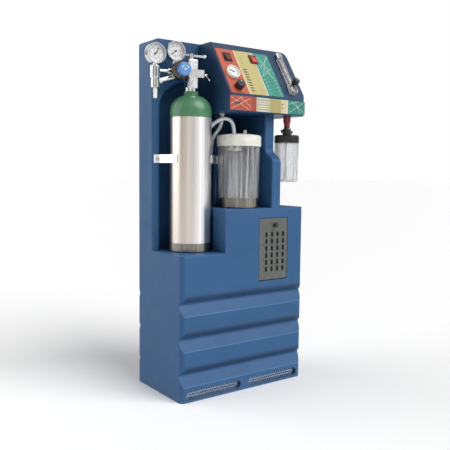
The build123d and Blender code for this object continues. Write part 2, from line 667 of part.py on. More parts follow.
def gauge_needle(radius, depth, angle):
    """Pointer with its hub, at a dial angle from straight up, clockwise."""
    floor_z = depth * 0.55
    low, high = floor_z + depth * 0.05, floor_z + depth * 0.17
    hub = rod(0, 0, low, high, GAUGE_NEEDLE_R) - rod(0, 0, low - 1, high + 1, 0.8 + RUN)
    tip = Polyline((-0.9, 1.6), (-0.35, radius * 0.68), (0.35, radius * 0.68), (0.9, 1.6),
                   close=True)
    tail = Polyline((-0.9, -1.6), (-0.9, -radius * 0.22), (0.9, -radius * 0.22), (0.9, -1.6),
                    close=True)
    pointer = extrude(make_face(tip), high - low) + extrude(make_face(tail), high - low)
    return Rot(0, 0, -angle) * (hub + Pos(0, 0, low) * pointer)


def gauge_lens(radius, depth):
    """Clear window inside the rim."""
    wall = radius * 0.09
    top = depth * 0.96
    return rod(0, 0, top - 1.5, top, radius - wall - RUN)


def vacuum_gauge_at(shape):
    """Put a gauge piece at the vacuum gauge's place."""
    x, s = from_left(VACUUM_GAUGE)
    return on_slope(x, s, PANEL_T, shape)


VACUUM_GAUGE_DEPTH = 9.0


def vacuum_gauge_case():
    """Case of the console's vacuum gauge, with its stem through the panel."""
    stem = rod(0, 0, -26, 1, GAUGE_STEM_R)
    return vacuum_gauge_at(gauge_case(VACUUM_GAUGE_R, VACUUM_GAUGE_DEPTH) + stem)


def vacuum_valve():
    """Regulating valve behind the panel, with the spindle that carries its knob."""
    x, s = from_left(VACUUM_KNOB)
    body = rod(0, 0, -34, -WALL - FIT, 11) + rod(0, 0, -WALL - 1, PANEL_T + 1, VALVE_STEM_R)
    body += rod(0, 0, 0, PANEL_T + 12, 2.5)
    return on_slope(x, s, 0, body)


def vacuum_knob():
    """Knob of the vacuum regulating valve."""
    x, s = from_left(VACUUM_KNOB)
    knob = fluted_knob(12.0, 17.0, 12, 1.0)
    knob = knob - rod(0, 0, -1, 13, 2.5 + RUN)
    return on_slope(x, s, PANEL_T + 1.3, knob)


# ---------------------------------------------------------------- flowmeter
def flow_block(s0, s1, width, height, corner):
    """Rounded bar lying on the console face between two distances up the slope."""
    bar = Pos(0, (s0 + s1) / 2, height / 2) * Box(width, s1 - s0, height)
    long_edges = bar.edges().filter_by(Axis.Y).group_by(Axis.Z)[-1]
    return fillet(long_edges, corner)


def flowmeter_body():
    """Clear flowmeter body with the float's bore, and the clear block that holds the valve."""
    tube = flow_block(FLOW_BLOCK_S, FLOW_CAP_S, FLOW_W - 2, FLOW_H, 4.5)
    foot = flow_block(FLOW_S0, FLOW_BLOCK_S, FLOW_W + 4, FLOW_H + 4, 4.5)
    ends = foot.edges().filter_by(Axis.Z).group_by(Axis.Y)[0]
    foot = fillet(ends, 8.0)
    body = foot + tube
    bore_l = FLOW_CAP_S - FLOW_BLOCK_S - 8
    body -= Pos(0, FLOW_BLOCK_S + 4 + bore_l / 2, FLOW_H / 2) * Rot(90, 0, 0) * Cylinder(
        FLOW_BORE_R, bore_l)
    body -= rod(0, FLOW_S0 + 26, 6, FLOW_H + 5, 3 + RUN)
    body += rod(0, FLOW_S0 + 12, -2 * WALL, 1, 3)
    return SLOPE * Pos(RIGHT - FLOWMETER, 0, 0) * body


def flowmeter_cap():
    """Metal outlet block at the top of the flowmeter."""
    cap = flow_block(FLOW_CAP_S, FLOW_S1, FLOW_W, FLOW_H + 1, 3.0)
    for index in range(3):
        s = FLOW_CAP_S + 4 + index * 4.5
        cap -= Pos(0, s, FLOW_H + 1) * Box(FLOW_W + 2, 1.2, 1.6)
    cap += rod(0, FLOW_CAP_S + 8, -2 * WALL, 1, 3)
    return SLOPE * Pos(RIGHT - FLOWMETER, 0, 0) * cap


def flowmeter_float():
    """Ball that the gas lifts in the bore."""
    return SLOPE * Pos(RIGHT - FLOWMETER, FLOW_BLOCK_S + 4 + FLOAT_R + 0.2, FLOW_H / 2) * Sphere(
        FLOAT_R)


def flow_knob():
    """Needle-valve knob on the clear block."""
    knob = fluted_knob(FLOW_KNOB_R, 14.0, 8, 1.4)
    spindle = rod(0, 0, -13.5, 1, 3) + rod(0, 0, -4.5, 1, 5)
    place = Pos(RIGHT - FLOWMETER, FLOW_S0 + 26, FLOW_H + 4 + 4.8)
    return SLOPE * place * (knob + spindle)


# ---------------------------------------------------------------- humidifier
OUTLET_R = 10.5
OUTLET_H = 20.0
NUT_TOP = 35.0             # console underside to the wing nut
NUT_H = 18.0
BOTTLE_LID_H = 16.0
BOTTLE_LID_Z = CONSOLE_Z - NUT_TOP - NUT_H - 1 - BOTTLE_LID_H
BOTTLE_Z = BOTTLE_LID_Z - BOTTLE_H
BOTTLE_WALL = 1.8


def oxygen_outlet():
    """Outlet under the console: collar, then a metal stem that reaches into the nut."""
    z = CONSOLE_Z
    points = [(0, z + 10), (6, z + 10), (6, z), (OUTLET_R, z), (OUTLET_R, z - OUTLET_H + 2),
              (OUTLET_R - 1.5, z - OUTLET_H), (8.5, z - OUTLET_H), (8.5, z - NUT_TOP + 3),
              (7, z - NUT_TOP + 1), (7, z - NUT_TOP - 8), (0, z - NUT_TOP - 8)]
    return turned(BOTTLE_X, BOTTLE_Y, points)


def wing_nut():
    """Swivel nut with two wings that joins the humidifier to the outlet."""
    top = CONSOLE_Z - NUT_TOP
    points = [(7 + RUN, top), (11, top), (12, top - 3), (12, top - NUT_H + 2),
              (11, top - NUT_H), (5 + RUN, top - NUT_H), (5 + RUN, top - 10), (7 + RUN, top - 10)]
    nut = turned(0, 0, points)
    wing = Polyline((10, top - 14), (24, top - 7), (31, top - 5), (33, top - 8), (27, top - 14),
                    (10, top - 17), close=True)
    blade = extrude(Plane.XZ * make_face(wing), 2.2, both=True)
    for side in (20, 200):
        nut += Rot(0, 0, side) * blade
    return Pos(BOTTLE_X, BOTTLE_Y, 0) * nut


def humidifier_lid():
    """Screw lid with the stem that the nut holds and a side barb for the patient's tube."""
    z = BOTTLE_LID_Z
    r = BOTTLE_D / 2
    top = CONSOLE_Z - NUT_TOP
    points = [(0, top - 10.3), (5, top - 10.3), (5, z + BOTTLE_LID_H), (r - 3, z + BOTTLE_LID_H),
              (r, z + BOTTLE_LID_H - 3), (r, z - 6), (r - 1.6, z - 6), (r - 1.6, z + 6), (0, z + 6)]
    lid = turned(0, 0, points)
    for place in PolarLocations(r + 0.8, 36):
        lid -= place * Pos(0, 0, z + 3) * Cylinder(1.6, 14)
    lid -= rod(0, 0, z + 2, top, 2.5 + RUN)
    return Pos(BOTTLE_X, BOTTLE_Y, 0) * lid


def humidifier_bottle():
    """Clear bottle with raised ribs; its mouth sits in the lid."""
    z = BOTTLE_Z
    base = BOTTLE_BASE_D / 2
    shoulder = BOTTLE_D / 2 - 0.5
    mouth = BOTTLE_D / 2 - 1.6 - FIT
    top = BOTTLE_LID_Z + 6 - FIT
    wall = BOTTLE_WALL
    neck = BOTTLE_LID_Z - 6 - FIT
    points = [(0, z + 3), (base * 0.6, z + 2), (base - 6, z), (base - 2, z + 1), (base, z + 5),
              (shoulder, neck - 2), (mouth, neck), (mouth, top),
              (mouth - wall, top), (mouth - wall, neck), (shoulder - wall, neck - 3),
              (base - wall, z + 7), (base - 6, z + 5), (0, z + 5.5)]
    return turned(BOTTLE_X, BOTTLE_Y, points)


def humidifier_tube():
    """Dip tube from the lid down into the water, with its porous diffuser."""
    top = CONSOLE_Z - NUT_TOP - 11
    tube = ring(0, 0, BOTTLE_Z + 20, top, 2.5, 1.5)
    diffuser = rod(0, 0, BOTTLE_Z + 10, BOTTLE_Z + 22, 6)
    return Pos(BOTTLE_X, BOTTLE_Y, 0) * (tube + diffuser)


# ---------------------------------------------------------------- suction jar
JAR_FLOOR = 4.0
JAR_WALL = 2.5
JAR_BOOT_H = 27.0
JAR_LID_H = 24.0
JAR_DOME = 5.0
JAR_Z = SHELF_Z + JAR_FLOOR
JAR_TOP_Z = JAR_Z + JAR_BODY_H
LID_SKIRT = 6.0
LID_TOP_Z = JAR_TOP_Z + JAR_LID_H
JAR_PORT_DX = -17.0        # hose port, from the jar axis
JAR_SPARE_DX = 20.0
NIPPLE_R = 5.0
FLOAT_CAGE_R = 20.0
FLOAT_CAGE_H = 22.0
JAR_FLOAT_R = 13.0
PORT_X = JAR_X - 37.0      # vacuum port under the console
PORT_Y = JAR_Y + 30.0
PORT_R = 5.0
PORT_H = 16.0


def jar_boot():
    """Cup that holds the foot of the jar on the shelf."""
    inner = JAR_BASE_D / 2 + (JAR_TOP_D - JAR_BASE_D) / 2 * JAR_BOOT_H / JAR_BODY_H + FIT
    cup = rod(JAR_X, JAR_Y, SHELF_Z, SHELF_Z + JAR_BOOT_H, inner + 1.6)
    cup = fillet(cup.edges().group_by(Axis.Z)[0], 3.0)
    return cup - rod(JAR_X, JAR_Y, JAR_Z, SHELF_Z + JAR_BOOT_H + 1, inner)


def jar_body():
    """Clear tapered jar."""
    base = JAR_BASE_D / 2
    top = JAR_TOP_D / 2
    z = JAR_Z
    points = [(0, z), (base - 3, z), (base, z + 3), (top, JAR_TOP_Z),
              (top - JAR_WALL, JAR_TOP_Z), (base - JAR_WALL, z + 5), (base - JAR_WALL - 2, z + 3),
              (0, z + 3)]
    return turned(JAR_X, JAR_Y, points)


def jar_lid():
    """Lid with a skirt over the rim, a slightly domed top and two ports."""
    r = JAR_LID_D / 2
    rim = JAR_TOP_D / 2 + FIT
    z = JAR_TOP_Z
    points = [(0, z + 4), (rim - 6, z + 4), (rim - 6, z + 2), (rim, z + 2), (rim, z - LID_SKIRT),
              (r - 1, z - LID_SKIRT), (r, z - LID_SKIRT + 1), (r, LID_TOP_Z - 3),
              (r - 3, LID_TOP_Z), (r * 0.6, LID_TOP_Z + JAR_DOME * 0.7),
              (r * 0.3, LID_TOP_Z + JAR_DOME), (0, LID_TOP_Z + JAR_DOME)]
    lid = turned(JAR_X, JAR_Y, points)
    port_z = LID_TOP_Z + JAR_DOME
    for dx, top in ((JAR_PORT_DX, port_z + 1.0), (JAR_SPARE_DX, port_z + 11.0)):
        lid += rod(JAR_X + dx, JAR_Y, z + 8, top, NIPPLE_R)
        lid -= rod(JAR_X + dx, JAR_Y, z + 3, top + 1, NIPPLE_R - 2)
    return lid


def jar_gasket():
    """Flat seal between the jar's rim and the lid."""
    outer = JAR_TOP_D / 2
    return ring(JAR_X, JAR_Y, JAR_TOP_Z, JAR_TOP_Z + 2, outer, outer - 5)


def jar_float_cage():
    """Slotted cage under the lid that guides the shut-off float."""
    x = JAR_X + JAR_PORT_DX
    top = JAR_TOP_Z + 4
    cage = ring(x, JAR_Y, top - FLOAT_CAGE_H, top, FLOAT_CAGE_R, FLOAT_CAGE_R - 2)
    cage += ring(x, JAR_Y, top - FLOAT_CAGE_H, top - FLOAT_CAGE_H + 2, FLOAT_CAGE_R, 7)
    for turn in (0, 60, 120):
        cutter = Box(3 * FLOAT_CAGE_R, 8, FLOAT_CAGE_H - 12)
        cage -= Pos(x, JAR_Y, top - FLOAT_CAGE_H / 2 - 1) * Rot(0, 0, turn) * cutter
    return cage


def jar_float():
    """Float that rises and shuts the suction port when the jar is full."""
    x = JAR_X + JAR_PORT_DX
    z = JAR_TOP_Z + 4 - FLOAT_CAGE_H + 2.2
    points = [(0, z), (JAR_FLOAT_R - 1, z), (JAR_FLOAT_R, z + 1), (JAR_FLOAT_R, z + 9),
              (5, z + 12), (0, z + 12)]
    return turned(x, JAR_Y, points)


def vacuum_port():
    """Hose nipple under the console."""
    z = CONSOLE_Z
    stem = rod(PORT_X, PORT_Y, z - PORT_H, z + 12, PORT_R)
    flange = rod(PORT_X, PORT_Y, z - 2, z, PORT_R + 4)
    return stem + flange - rod(PORT_X, PORT_Y, z - PORT_H - 1, z + 13, PORT_R - 2)


# suction hose: the points its centre line runs between, from the jar to the vacuum port
HOSE_POINTS = [
    (3.0, -50.0, 698.0),
    (2.0, -50.0, 721.0),
    (-13.0, -47.0, 737.0),
    (-35.0, -40.0, 736.0),
    (-50.0, -26.0, 722.0),
    (-54.0, -5.0, 704.0),
    (-54.0, 20.0, 680.0),
    (-66.0, 38.0, 648.0),
    (-80.0, 46.0, 610.0),
    (-84.0, 48.0, 572.0),
    (-66.0, 50.0, 552.0),
    (-39.0, 49.0, 551.0),
    (-20.0, 45.0, 571.0),
    (-16.0, 38.0, 606.0),
    (-22.0, 24.0, 640.0),
    (-30.0, 10.0, 672.0),
    (-29.0, -2.0, 696.0),
    (-18.0, -17.0, 714.0),
    (-17.0, -20.0, 735.0),
]


def hose_radii(points):
    """Bend radius at each inner point: as large as its two runs allow."""
    radii = []
    for before, here, after in zip(points, points[1:], points[2:]):
        run_in = Vector(*here) - Vector(*before)
        run_out = Vector(*after) - Vector(*here)
        turn = radians(run_in.get_angle(run_out))
        tangent = sin(turn / 2) / cos(turn / 2)
        radii.append(0.45 * min(run_in.length, run_out.length) / tangent)
    return radii


def hose():
    """Limp suction hose from the jar's port, hanging behind the cylinder, to the console."""
    radii = hose_radii(HOSE_POINTS)
    path = FilletPolyline(*HOSE_POINTS, radius=radii)
    start = Plane(origin=path @ 0, z_dir=path % 0)
    tube = sweep(start * Circle(HOSE_D / 2), path=path)
    print("hose length %.0f, volume ratio %.3f, radii %s" % (
        path.length, tube.volume / (path.length * pi * HOSE_D ** 2 / 4),
        [round(radius) for radius in radii]))
    return tube


# ---------------------------------------------------------------- oxygen cylinder
CYL_FLOOR = 4.0
CYL_WALL = 7.0
CYL_Z = LEDGE_Z + CYL_FLOOR
SHOULDER_Z = CYL_Z + CYL_STRAIGHT
NECK_Z = CYL_Z + CYL_LENGTH
NECK_H = 12.0
CYL_BOOT_H = 24.0
THREAD_R = 9.0
VALVE_W = 30.0             # across the yoke
VALVE_D = 33.0
VALVE_TOP = NECK_Z + 82.0
STEM_R = 4.0
EYE_X = -12.0              # ring of the valve handle


def cylinder_boot():
    """Cup around the cylinder's foot."""
    cup = rod(CYL_X, CYL_Y, LEDGE_Z, LEDGE_Z + CYL_BOOT_H, BOOT_R)
    cup = fillet(cup.edges().group_by(Axis.Z)[0], 3.0)
    return cup - rod(CYL_X, CYL_Y, CYL_Z, LEDGE_Z + CYL_BOOT_H + 1, CYL_R + FIT)


def cylinder_body():
    """Seamless cylinder with a domed shoulder and a threaded neck."""
    neck = CYL_NECK_D / 2
    base_r = 10.0
    shoulder_top = NECK_Z - NECK_H
    outer = (Line((0, CYL_Z), (CYL_R - base_r, CYL_Z))
             + TangentArc((CYL_R - base_r, CYL_Z), (CYL_R, CYL_Z + base_r), tangent=(1, 0))
             + Line((CYL_R, CYL_Z + base_r), (CYL_R, SHOULDER_Z))
             + TangentArc((CYL_R, SHOULDER_Z), (neck + 3, shoulder_top), tangent=(0, 1))
             + Polyline((neck + 3, shoulder_top), (neck, shoulder_top + 3), (neck, NECK_Z),
                        (0, NECK_Z), (0, CYL_Z)))
    bore = CYL_R - CYL_WALL
    inner_top = shoulder_top - CYL_WALL
    inner = (Polyline((0, inner_top), (0, CYL_Z + CYL_WALL), (bore, CYL_Z + CYL_WALL),
                      (bore, SHOULDER_Z))
             + TangentArc((bore, SHOULDER_Z), (THREAD_R, inner_top), tangent=(0, 1))
             + Line((THREAD_R, inner_top), (0, inner_top)))
    body = revolve(Plane.XZ * make_face(outer), Axis.Z)
    body -= revolve(Plane.XZ * make_face(inner), Axis.Z)
    body -= rod(0, 0, inner_top - 1, NECK_Z + 1, THREAD_R)
    return Pos(CYL_X, CYL_Y, 0) * body


# the valve and the regulator are built on the valve's axis, then turned together
REG_TURN = 7.0
REG = Pos(CYL_X, CYL_Y, 0) * Rot(0, 0, -REG_TURN)
YOKE_Z = NECK_Z + 45.0
YOKE_H = 20.0
YOKE_SCREW_R = 4.5
CORE_X = -39.5             # regulator core, from the valve's axis
CORE_Z = YOKE_Z + 5.0
CORE_R = 20.0
CORE_D = 24.0
BONNET_R = 23.5
BONNET_D = 21.0
REG_KNOB_R = 17.0
REG_KNOB_D = 17.0
TEE_X = -102.0
TEE_R = 13.0
TANK_GAUGE_R = 26.5
LINE_GAUGE_R = 25.5
GAUGE_DEPTH = 20.0
TANK_GAUGE_Z = YOKE_Z + 45.0
LINE_GAUGE_X = -46.5
LINE_GAUGE_Z = YOKE_Z + 55.0


def cylinder_valve():
    """Post valve: thread, collar, square post and the spindle for its handle."""
    post = Pos(0, 0, (NECK_Z + 8 + VALVE_TOP) / 2) * Box(VALVE_W, VALVE_D,
                                                        VALVE_TOP - NECK_Z - 8)
    post = fillet(post.edges().filter_by(Axis.Z), 5.0)
    post = fillet(post.edges().group_by(Axis.Z)[-1], 2.0)
    valve = post + rod(0, 0, NECK_Z, NECK_Z + 9, 17) + rod(0, 0, NECK_Z - 18, NECK_Z + 1,
                                                         THREAD_R - RUN)
    valve += rod(0, 0, VALVE_TOP - 1, VALVE_TOP + 5, 9)
    valve += rod(0, 0, VALVE_TOP, VALVE_TOP + 17, STEM_R)
    plug = Rot(90, 0, 0) * extrude(RegularPolygon(6, 6), VALVE_D / 2 + 4)
    valve += Pos(0, 0, NECK_Z + 22) * plug
    return REG * valve


def valve_handle():
    """Toggle handle: hub, bar, a ring at one end and a ball at the other."""
    low = VALVE_TOP + 5.3
    hub = rod(0, 0, low, low + 11, 7)
    bar = block(0, 37, -3.5, 3.5, low + 3, low + 9)
    eye = ring(EYE_X, 0, low + 3, low + 9, 6.5, 3.6)
    ball = Pos(40, 0, low + 6) * Sphere(6)
    handle = hub + bar + eye + ball
    return REG * (handle - rod(0, 0, low - 1, low + 13, STEM_R + RUN))


def regulator_body():
    """Yoke, core, side tube, tee and hose barb of the regulator, in one casting."""
    inner_x0, inner_x1 = -VALVE_W / 2 - FIT, VALVE_W / 2 + 6
    yoke = block(inner_x0 - 9, inner_x1 + 11, -VALVE_D / 2 - 8, VALVE_D / 2 + 8,
                 YOKE_Z - YOKE_H / 2, YOKE_Z + YOKE_H / 2)
    yoke = fillet(yoke.edges().filter_by(Axis.Z), 7.0)
    yoke -= block(inner_x0, inner_x1, -VALVE_D / 2 - 1, VALVE_D / 2 + 1, YOKE_Z - 30, YOKE_Z + 30)
    across = Rot(0, 90, 0)
    yoke += Pos(inner_x1 + 12, 0, YOKE_Z) * across * Cylinder(9, 8)
    yoke -= Pos(inner_x1 + 8, 0, YOKE_Z) * across * Cylinder(YOKE_SCREW_R + RUN, 24)
    core = Pos(CORE_X, 0, CORE_Z) * Rot(90, 0, 0) * Cylinder(CORE_R, CORE_D)
    body = yoke + core
    front = Pos(CORE_X, -CORE_D / 2, CORE_Z) * Rot(90, 0, 0)
    body -= front * rod(0, 0, 0, BONNET_D + 1, BONNET_R + FIT)
    body += front * rod(0, 0, -1, BONNET_D + 12, 5)
    body += Pos((TEE_X + CORE_X) / 2, 0, YOKE_Z + 3) * across * Cylinder(4.5, CORE_X - TEE_X)
    body += Pos(CORE_X - CORE_R - 3, 0, YOKE_Z + 3) * across * Cylinder(8, 12)
    body += rod(LINE_GAUGE_X, 0, CORE_Z, LINE_GAUGE_Z - LINE_GAUGE_R + 2, 6)
    relief = Pos(CORE_X - 10, 3, YOKE_Z - 10) * Rot(0, -108, 0) * rod(0, 0, 0, 38, 7.5)
    body += relief
    tee = rod(TEE_X, 0, YOKE_Z - 18, YOKE_Z + 15, TEE_R)
    tee = fillet(tee.edges(), 3.0)
    body += tee + rod(TEE_X, 0, YOKE_Z + 14, TANK_GAUGE_Z - TANK_GAUGE_R + 2, 6)
    body += rod(TEE_X, 0, YOKE_Z - 41, YOKE_Z - 17, 11)
    body -= ring(TEE_X, 0, YOKE_Z - 22, YOKE_Z - 19, 12, 9.5)
    for x, z, radius in ((TEE_X, TANK_GAUGE_Z, TANK_GAUGE_R),
                         (LINE_GAUGE_X, LINE_GAUGE_Z, LINE_GAUGE_R)):
        body -= Pos(x, 0, z) * Rot(90, 0, 0) * Cylinder(radius, 2 * GAUGE_DEPTH)
    return REG * body


def outlet_barb():
    """Pale hose barb under the tee."""
    top = YOKE_Z - 41
    points = [(2.5, top), (5.3, top), (5.3, top - 14), (4.6, top - 15), (5.3, top - 20),
              (4.4, top - 27), (2.5, top - 27)]
    return REG * turned(TEE_X, 0, points)


def regulator_bonnet():
    """Spring bonnet in front of the core."""
    points = [(5 + RUN, 0), (BONNET_R - 1.5, 0), (BONNET_R, 2), (BONNET_R, BONNET_D - 6),
              (BONNET_R - 5, BONNET_D), (5 + RUN, BONNET_D)]
    bonnet = turned(0, 0, points)
    return REG * Pos(CORE_X, -CORE_D / 2, CORE_Z) * Rot(90, 0, 0) * bonnet


def regulator_knob():
    """Flow-setting knob on the regulator's front."""
    knob = fluted_knob(REG_KNOB_R, REG_KNOB_D, 10, 1.2)
    knob -= rod(0, 0, -1, 11.7, 5 + RUN)
    return REG * Pos(CORE_X, -CORE_D / 2 - BONNET_D - FIT, CORE_Z) * Rot(90, 0, 0) * knob


def yoke_screw():
    """T-screw that pulls the regulator onto the valve."""
    tip = VALVE_W / 2 + 0.2
    shank = Pos(tip + 14.5, 0, 0) * Rot(0, 90, 0) * Cylinder(YOKE_SCREW_R, 29)
    collar = Pos(tip + 29, 0, 0) * Rot(0, 90, 0) * Cylinder(6.0, 9)
    bar = Cylinder(2.2, 50) + Pos(0, 0, 25) * Sphere(3.2) + Pos(0, 0, -25) * Sphere(3.2)
    bar = Pos(tip + 29, 0, 0) * Rot(-54, 0, 0) * bar
    return REG * Pos(0, 0, YOKE_Z) * (shank + collar + bar)


def regulator_gauge_at(x, z, shape):
    """Put a gauge piece built facing +Z at a place on the regulator, facing the front."""
    return REG * Pos(x, GAUGE_DEPTH / 2, z) * Rot(90, 0, 0) * shape


def regulator_gauges():
    """Case, needle and lens of both regulator gauges."""
    pieces = {}
    gauges = (("tank_gauge", TEE_X, TANK_GAUGE_Z, TANK_GAUGE_R, 35),
              ("line_gauge", LINE_GAUGE_X, LINE_GAUGE_Z, LINE_GAUGE_R, -125))
    for name, x, z, radius, angle in gauges:
        pieces[name + "_case"] = regulator_gauge_at(x, z, gauge_case(radius, GAUGE_DEPTH))
        pieces[name + "_needle"] = regulator_gauge_at(
            x, z, gauge_needle(radius, GAUGE_DEPTH, angle))
        pieces[name + "_lens"] = regulator_gauge_at(x, z, gauge_lens(radius, GAUGE_DEPTH))
    return pieces


# ---------------------------------------------------------------- cylinder clamp
CLAMP_Z = 626.0
CLAMP_H = 22.0
CLAMP_T = 2.0
CLAMP_WRAP = radians(3.0)  # how far an arm follows the cylinder past its first touch


def on_circle(radius, angle):
    """Point on a circle around the cylinder's axis."""
    return CYL_X + radius * cos(angle), CYL_Y + radius * sin(angle)


def tangent_angle(foot_x, radius, side):
    """Where a straight arm from a foot on the slab's face meets a circle on the cylinder."""
    dx = foot_x - CYL_X
    dy = SLAB_Y - CLAMP_T / 2 - CYL_Y
    return atan2(dy, dx) + side * acos(radius / sqrt(dx * dx + dy * dy))


def clamp_feet():
    """Inner ends of the clamp's flanges, on the strip and on the ridge."""
    return STRIP_X - 7.0, RIDGE_LEFT + 4.0


def clamp_arm(outer_x, foot_x, side):
    """Spring arm: a flange on a bead, a straight run and a short wrap around the cylinder."""
    radius = CYL_R + FIT + CLAMP_T / 2
    y = SLAB_Y - CLAMP_T / 2
    start = tangent_angle(foot_x, radius, side)
    touch, middle, tip = [on_circle(radius, start + side * turn)
                          for turn in (0, CLAMP_WRAP / 2, CLAMP_WRAP)]
    path = (Line((outer_x, y), (foot_x, y)) + Line((foot_x, y), touch)
            + ThreePointArc(touch, middle, tip))
    return extrude(trace(path, line_width=CLAMP_T), CLAMP_H)


def clamp_band():
    """Two spring arms that grip the cylinder from its sides."""
    left_foot, right_foot = clamp_feet()
    arms = clamp_arm(LEFT + 3, left_foot, 1) + clamp_arm(RIDGE_RIGHT, right_foot, -1)
    arms = Pos(0, 0, CLAMP_Z - CLAMP_H / 2) * arms
    for x in clamp_screw_xs():
        arms -= Pos(x, SLAB_Y, CLAMP_Z) * Rot(90, 0, 0) * Cylinder(SCREW_R + 0.2, 8)
    return arms


def clamp_screw_xs():
    """One screw through each flange."""
    left_foot, right_foot = clamp_feet()
    return (LEFT + 3 + left_foot) / 2, (right_foot + RIDGE_RIGHT) / 2


def clamp_screws():
    """Screws of the clamp."""
    head_y = SLAB_Y - CLAMP_T
    return [Pos(x, head_y, CLAMP_Z) * Rot(90, 0, 0) * pan_screw(9) for x in clamp_screw_xs()]


# ---------------------------------------------------------------- vacuum pump inside the foot
PUMP_Z = 72.0
MOTOR_R = 42.0
MOTOR_L = 100.0
MOTOR_WALL = 4.0
SHAFT_R = 5.0
FRAME_Z = 18.0
FRAME_T = 3.0
FOOT_STUD_R = 3.0
HEAD_R = 34.0
HEAD_L = 44.0
FAN_R = 34.0


def along_x(x0, x1, radius):
    """Cylinder on the pump's shaft line between two distances along X."""
    return Pos((x0 + x1) / 2, 0, PUMP_Z) * Rot(0, 90, 0) * Cylinder(radius, x1 - x0)


def pump_foot_places():
    """Rubber mounts under the pump's frame."""
    return [(x, y) for x in (-70, 70) for y in (-36, 36)]


def pump_frame():
    """Tray with two saddles under the motor."""
    tray = block(-84, 84, -48, 48, FRAME_Z, FRAME_Z + FRAME_T)
    for x in (-32, 32):
        tray += block(x - 6, x + 6, -30, 30, FRAME_Z + 1, PUMP_Z - 20)
    tray -= along_x(-90, 90, MOTOR_R)
    for x, y in pump_foot_places():
        tray -= rod(x, y, FRAME_Z - 1, FRAME_Z + FRAME_T + 1, FOOT_STUD_R + 0.2)
    return tray


def pump_mounts():
    """Rubber mounts with a stud at each end."""
    mounts = []
    for x, y in pump_foot_places():
        mount = rod(x, y, BASE_PLATE_T, FRAME_Z, 9)
        mount += rod(x, y, 1, BASE_PLATE_T + 1, FOOT_STUD_R)
        mount += rod(x, y, FRAME_Z - 1, FRAME_Z + 9, FOOT_STUD_R)
        mounts.append(mount)
    return Compound(mounts)


def motor_case():
    """Motor with its windings, a bearing at each end."""
    half = MOTOR_L / 2
    case = along_x(-half, half, MOTOR_R) - along_x(-half + MOTOR_WALL, half - MOTOR_WALL,
                                                  MOTOR_R - MOTOR_WALL)
    case += along_x(-30, 30, MOTOR_R - MOTOR_WALL + 1) - along_x(-31, 31, 31)
    return case - along_x(-half - 1, half + 1, SHAFT_R + RUN)


def pump_rotor():
    """Shaft with the motor's armature, the pump's vane carrier and the cooling fan."""
    half = MOTOR_L / 2
    shaft = along_x(-half - HEAD_L + 6, half + 30, SHAFT_R)
    armature = along_x(-28, 28, 30)
    carrier = along_x(-half - HEAD_L + 8, -half - 8, 20)
    for turn in range(4):
        vane_slot = Pos(-half - HEAD_L / 2, 0, PUMP_Z) * Rot(90 * turn, 0, 0)
        carrier -= vane_slot * Pos(0, 16, 0) * Box(HEAD_L, 10, 2)
    return shaft + armature + carrier + cooling_fan()


def cooling_fan():
    """Fan on the motor's free shaft end."""
    x0 = MOTOR_L / 2 + 10
    fan = along_x(x0, x0 + 14, 12)
    blade = Pos(x0 + 7, 0, PUMP_Z)
    for turn in range(6):
        fan += blade * Rot(60 * turn, 0, 0) * Pos(0, 0, 21) * Rot(0, 0, 35) * Box(14, 2, 24)
    return fan


def pump_head():
    """Vane pump head with its inlet and outlet nipples."""
    x1 = -MOTOR_L / 2
    x0 = x1 - HEAD_L
    head = along_x(x0, x1, HEAD_R)
    head += rod(x0 + 12, 0, PUMP_Z + 20, PUMP_Z + HEAD_R + 12, 4)
    head += rod(x0 + 32, 0, PUMP_Z + 20, PUMP_Z + HEAD_R + 12, 4)
    head -= Pos(0, 0, 2) * along_x(x0 + 6, x1 - 6, 24)
    return head - along_x(x0 + 10, x1 + 1, SHAFT_R + RUN)


# vacuum line inside the housing, from the pump up the column to the port under the console
LINE_D = 8.0


def vacuum_line():
    """Tube from the pump head up through the housing to the vacuum port."""
    start_x = -MOTOR_L / 2 - HEAD_L + 12
    shaft_x = (COLUMN_LEFT + COLUMN_RIGHT) / 2
    low = PUMP_Z + HEAD_R + 12
    points = [(start_x, 0, low), (start_x, 0, low + 40), (start_x + 60, 30, 220),
              (shaft_x - 60, 70, 330), (shaft_x, 60, SHELF_Z - 40),
              (shaft_x, 0, SHELF_Z + 60), (shaft_x, -40, CONSOLE_Z - 60),
              (shaft_x - 10, -45, CONSOLE_Z + 25), (shaft_x - 60, -50, CONSOLE_Z + 50),
              (PORT_X + 20, PORT_Y, CONSOLE_Z + 46), (PORT_X, PORT_Y, CONSOLE_Z + 28),
              (PORT_X, PORT_Y, CONSOLE_Z + 12)]
    path = FilletPolyline(*points, radius=hose_radii(points))
    return sweep(Plane(origin=path @ 0, z_dir=path % 0) * Circle(LINE_D / 2), path=path)


def mains_inlet():
    """Three-pin mains inlet in the back."""
    flange = block(INLET_X - 24, INLET_X + 24, BACK, BACK + 2.5,
                   INLET_Z - INLET_H / 2 - 3, INLET_Z + INLET_H / 2 + 3)
    body = block(INLET_X - INLET_W / 2 + FIT, INLET_X + INLET_W / 2 - FIT, BACK - 24, BACK + 1,
                 INLET_Z - INLET_H / 2 + FIT, INLET_Z + INLET_H / 2 - FIT)
    inlet = flange + body
    inlet -= block(INLET_X - 11.5, INLET_X + 11.5, BACK - 16, BACK + 4, INLET_Z - 7.5,
                   INLET_Z + 7.5)
    for dx, dz in ((-7, -2), (0, 2), (7, -2)):
        inlet += block(INLET_X + dx - 1, INLET_X + dx + 1, BACK - 17, BACK - 3,
                       INLET_Z + dz - 2, INLET_Z + dz + 2)
    return inlet


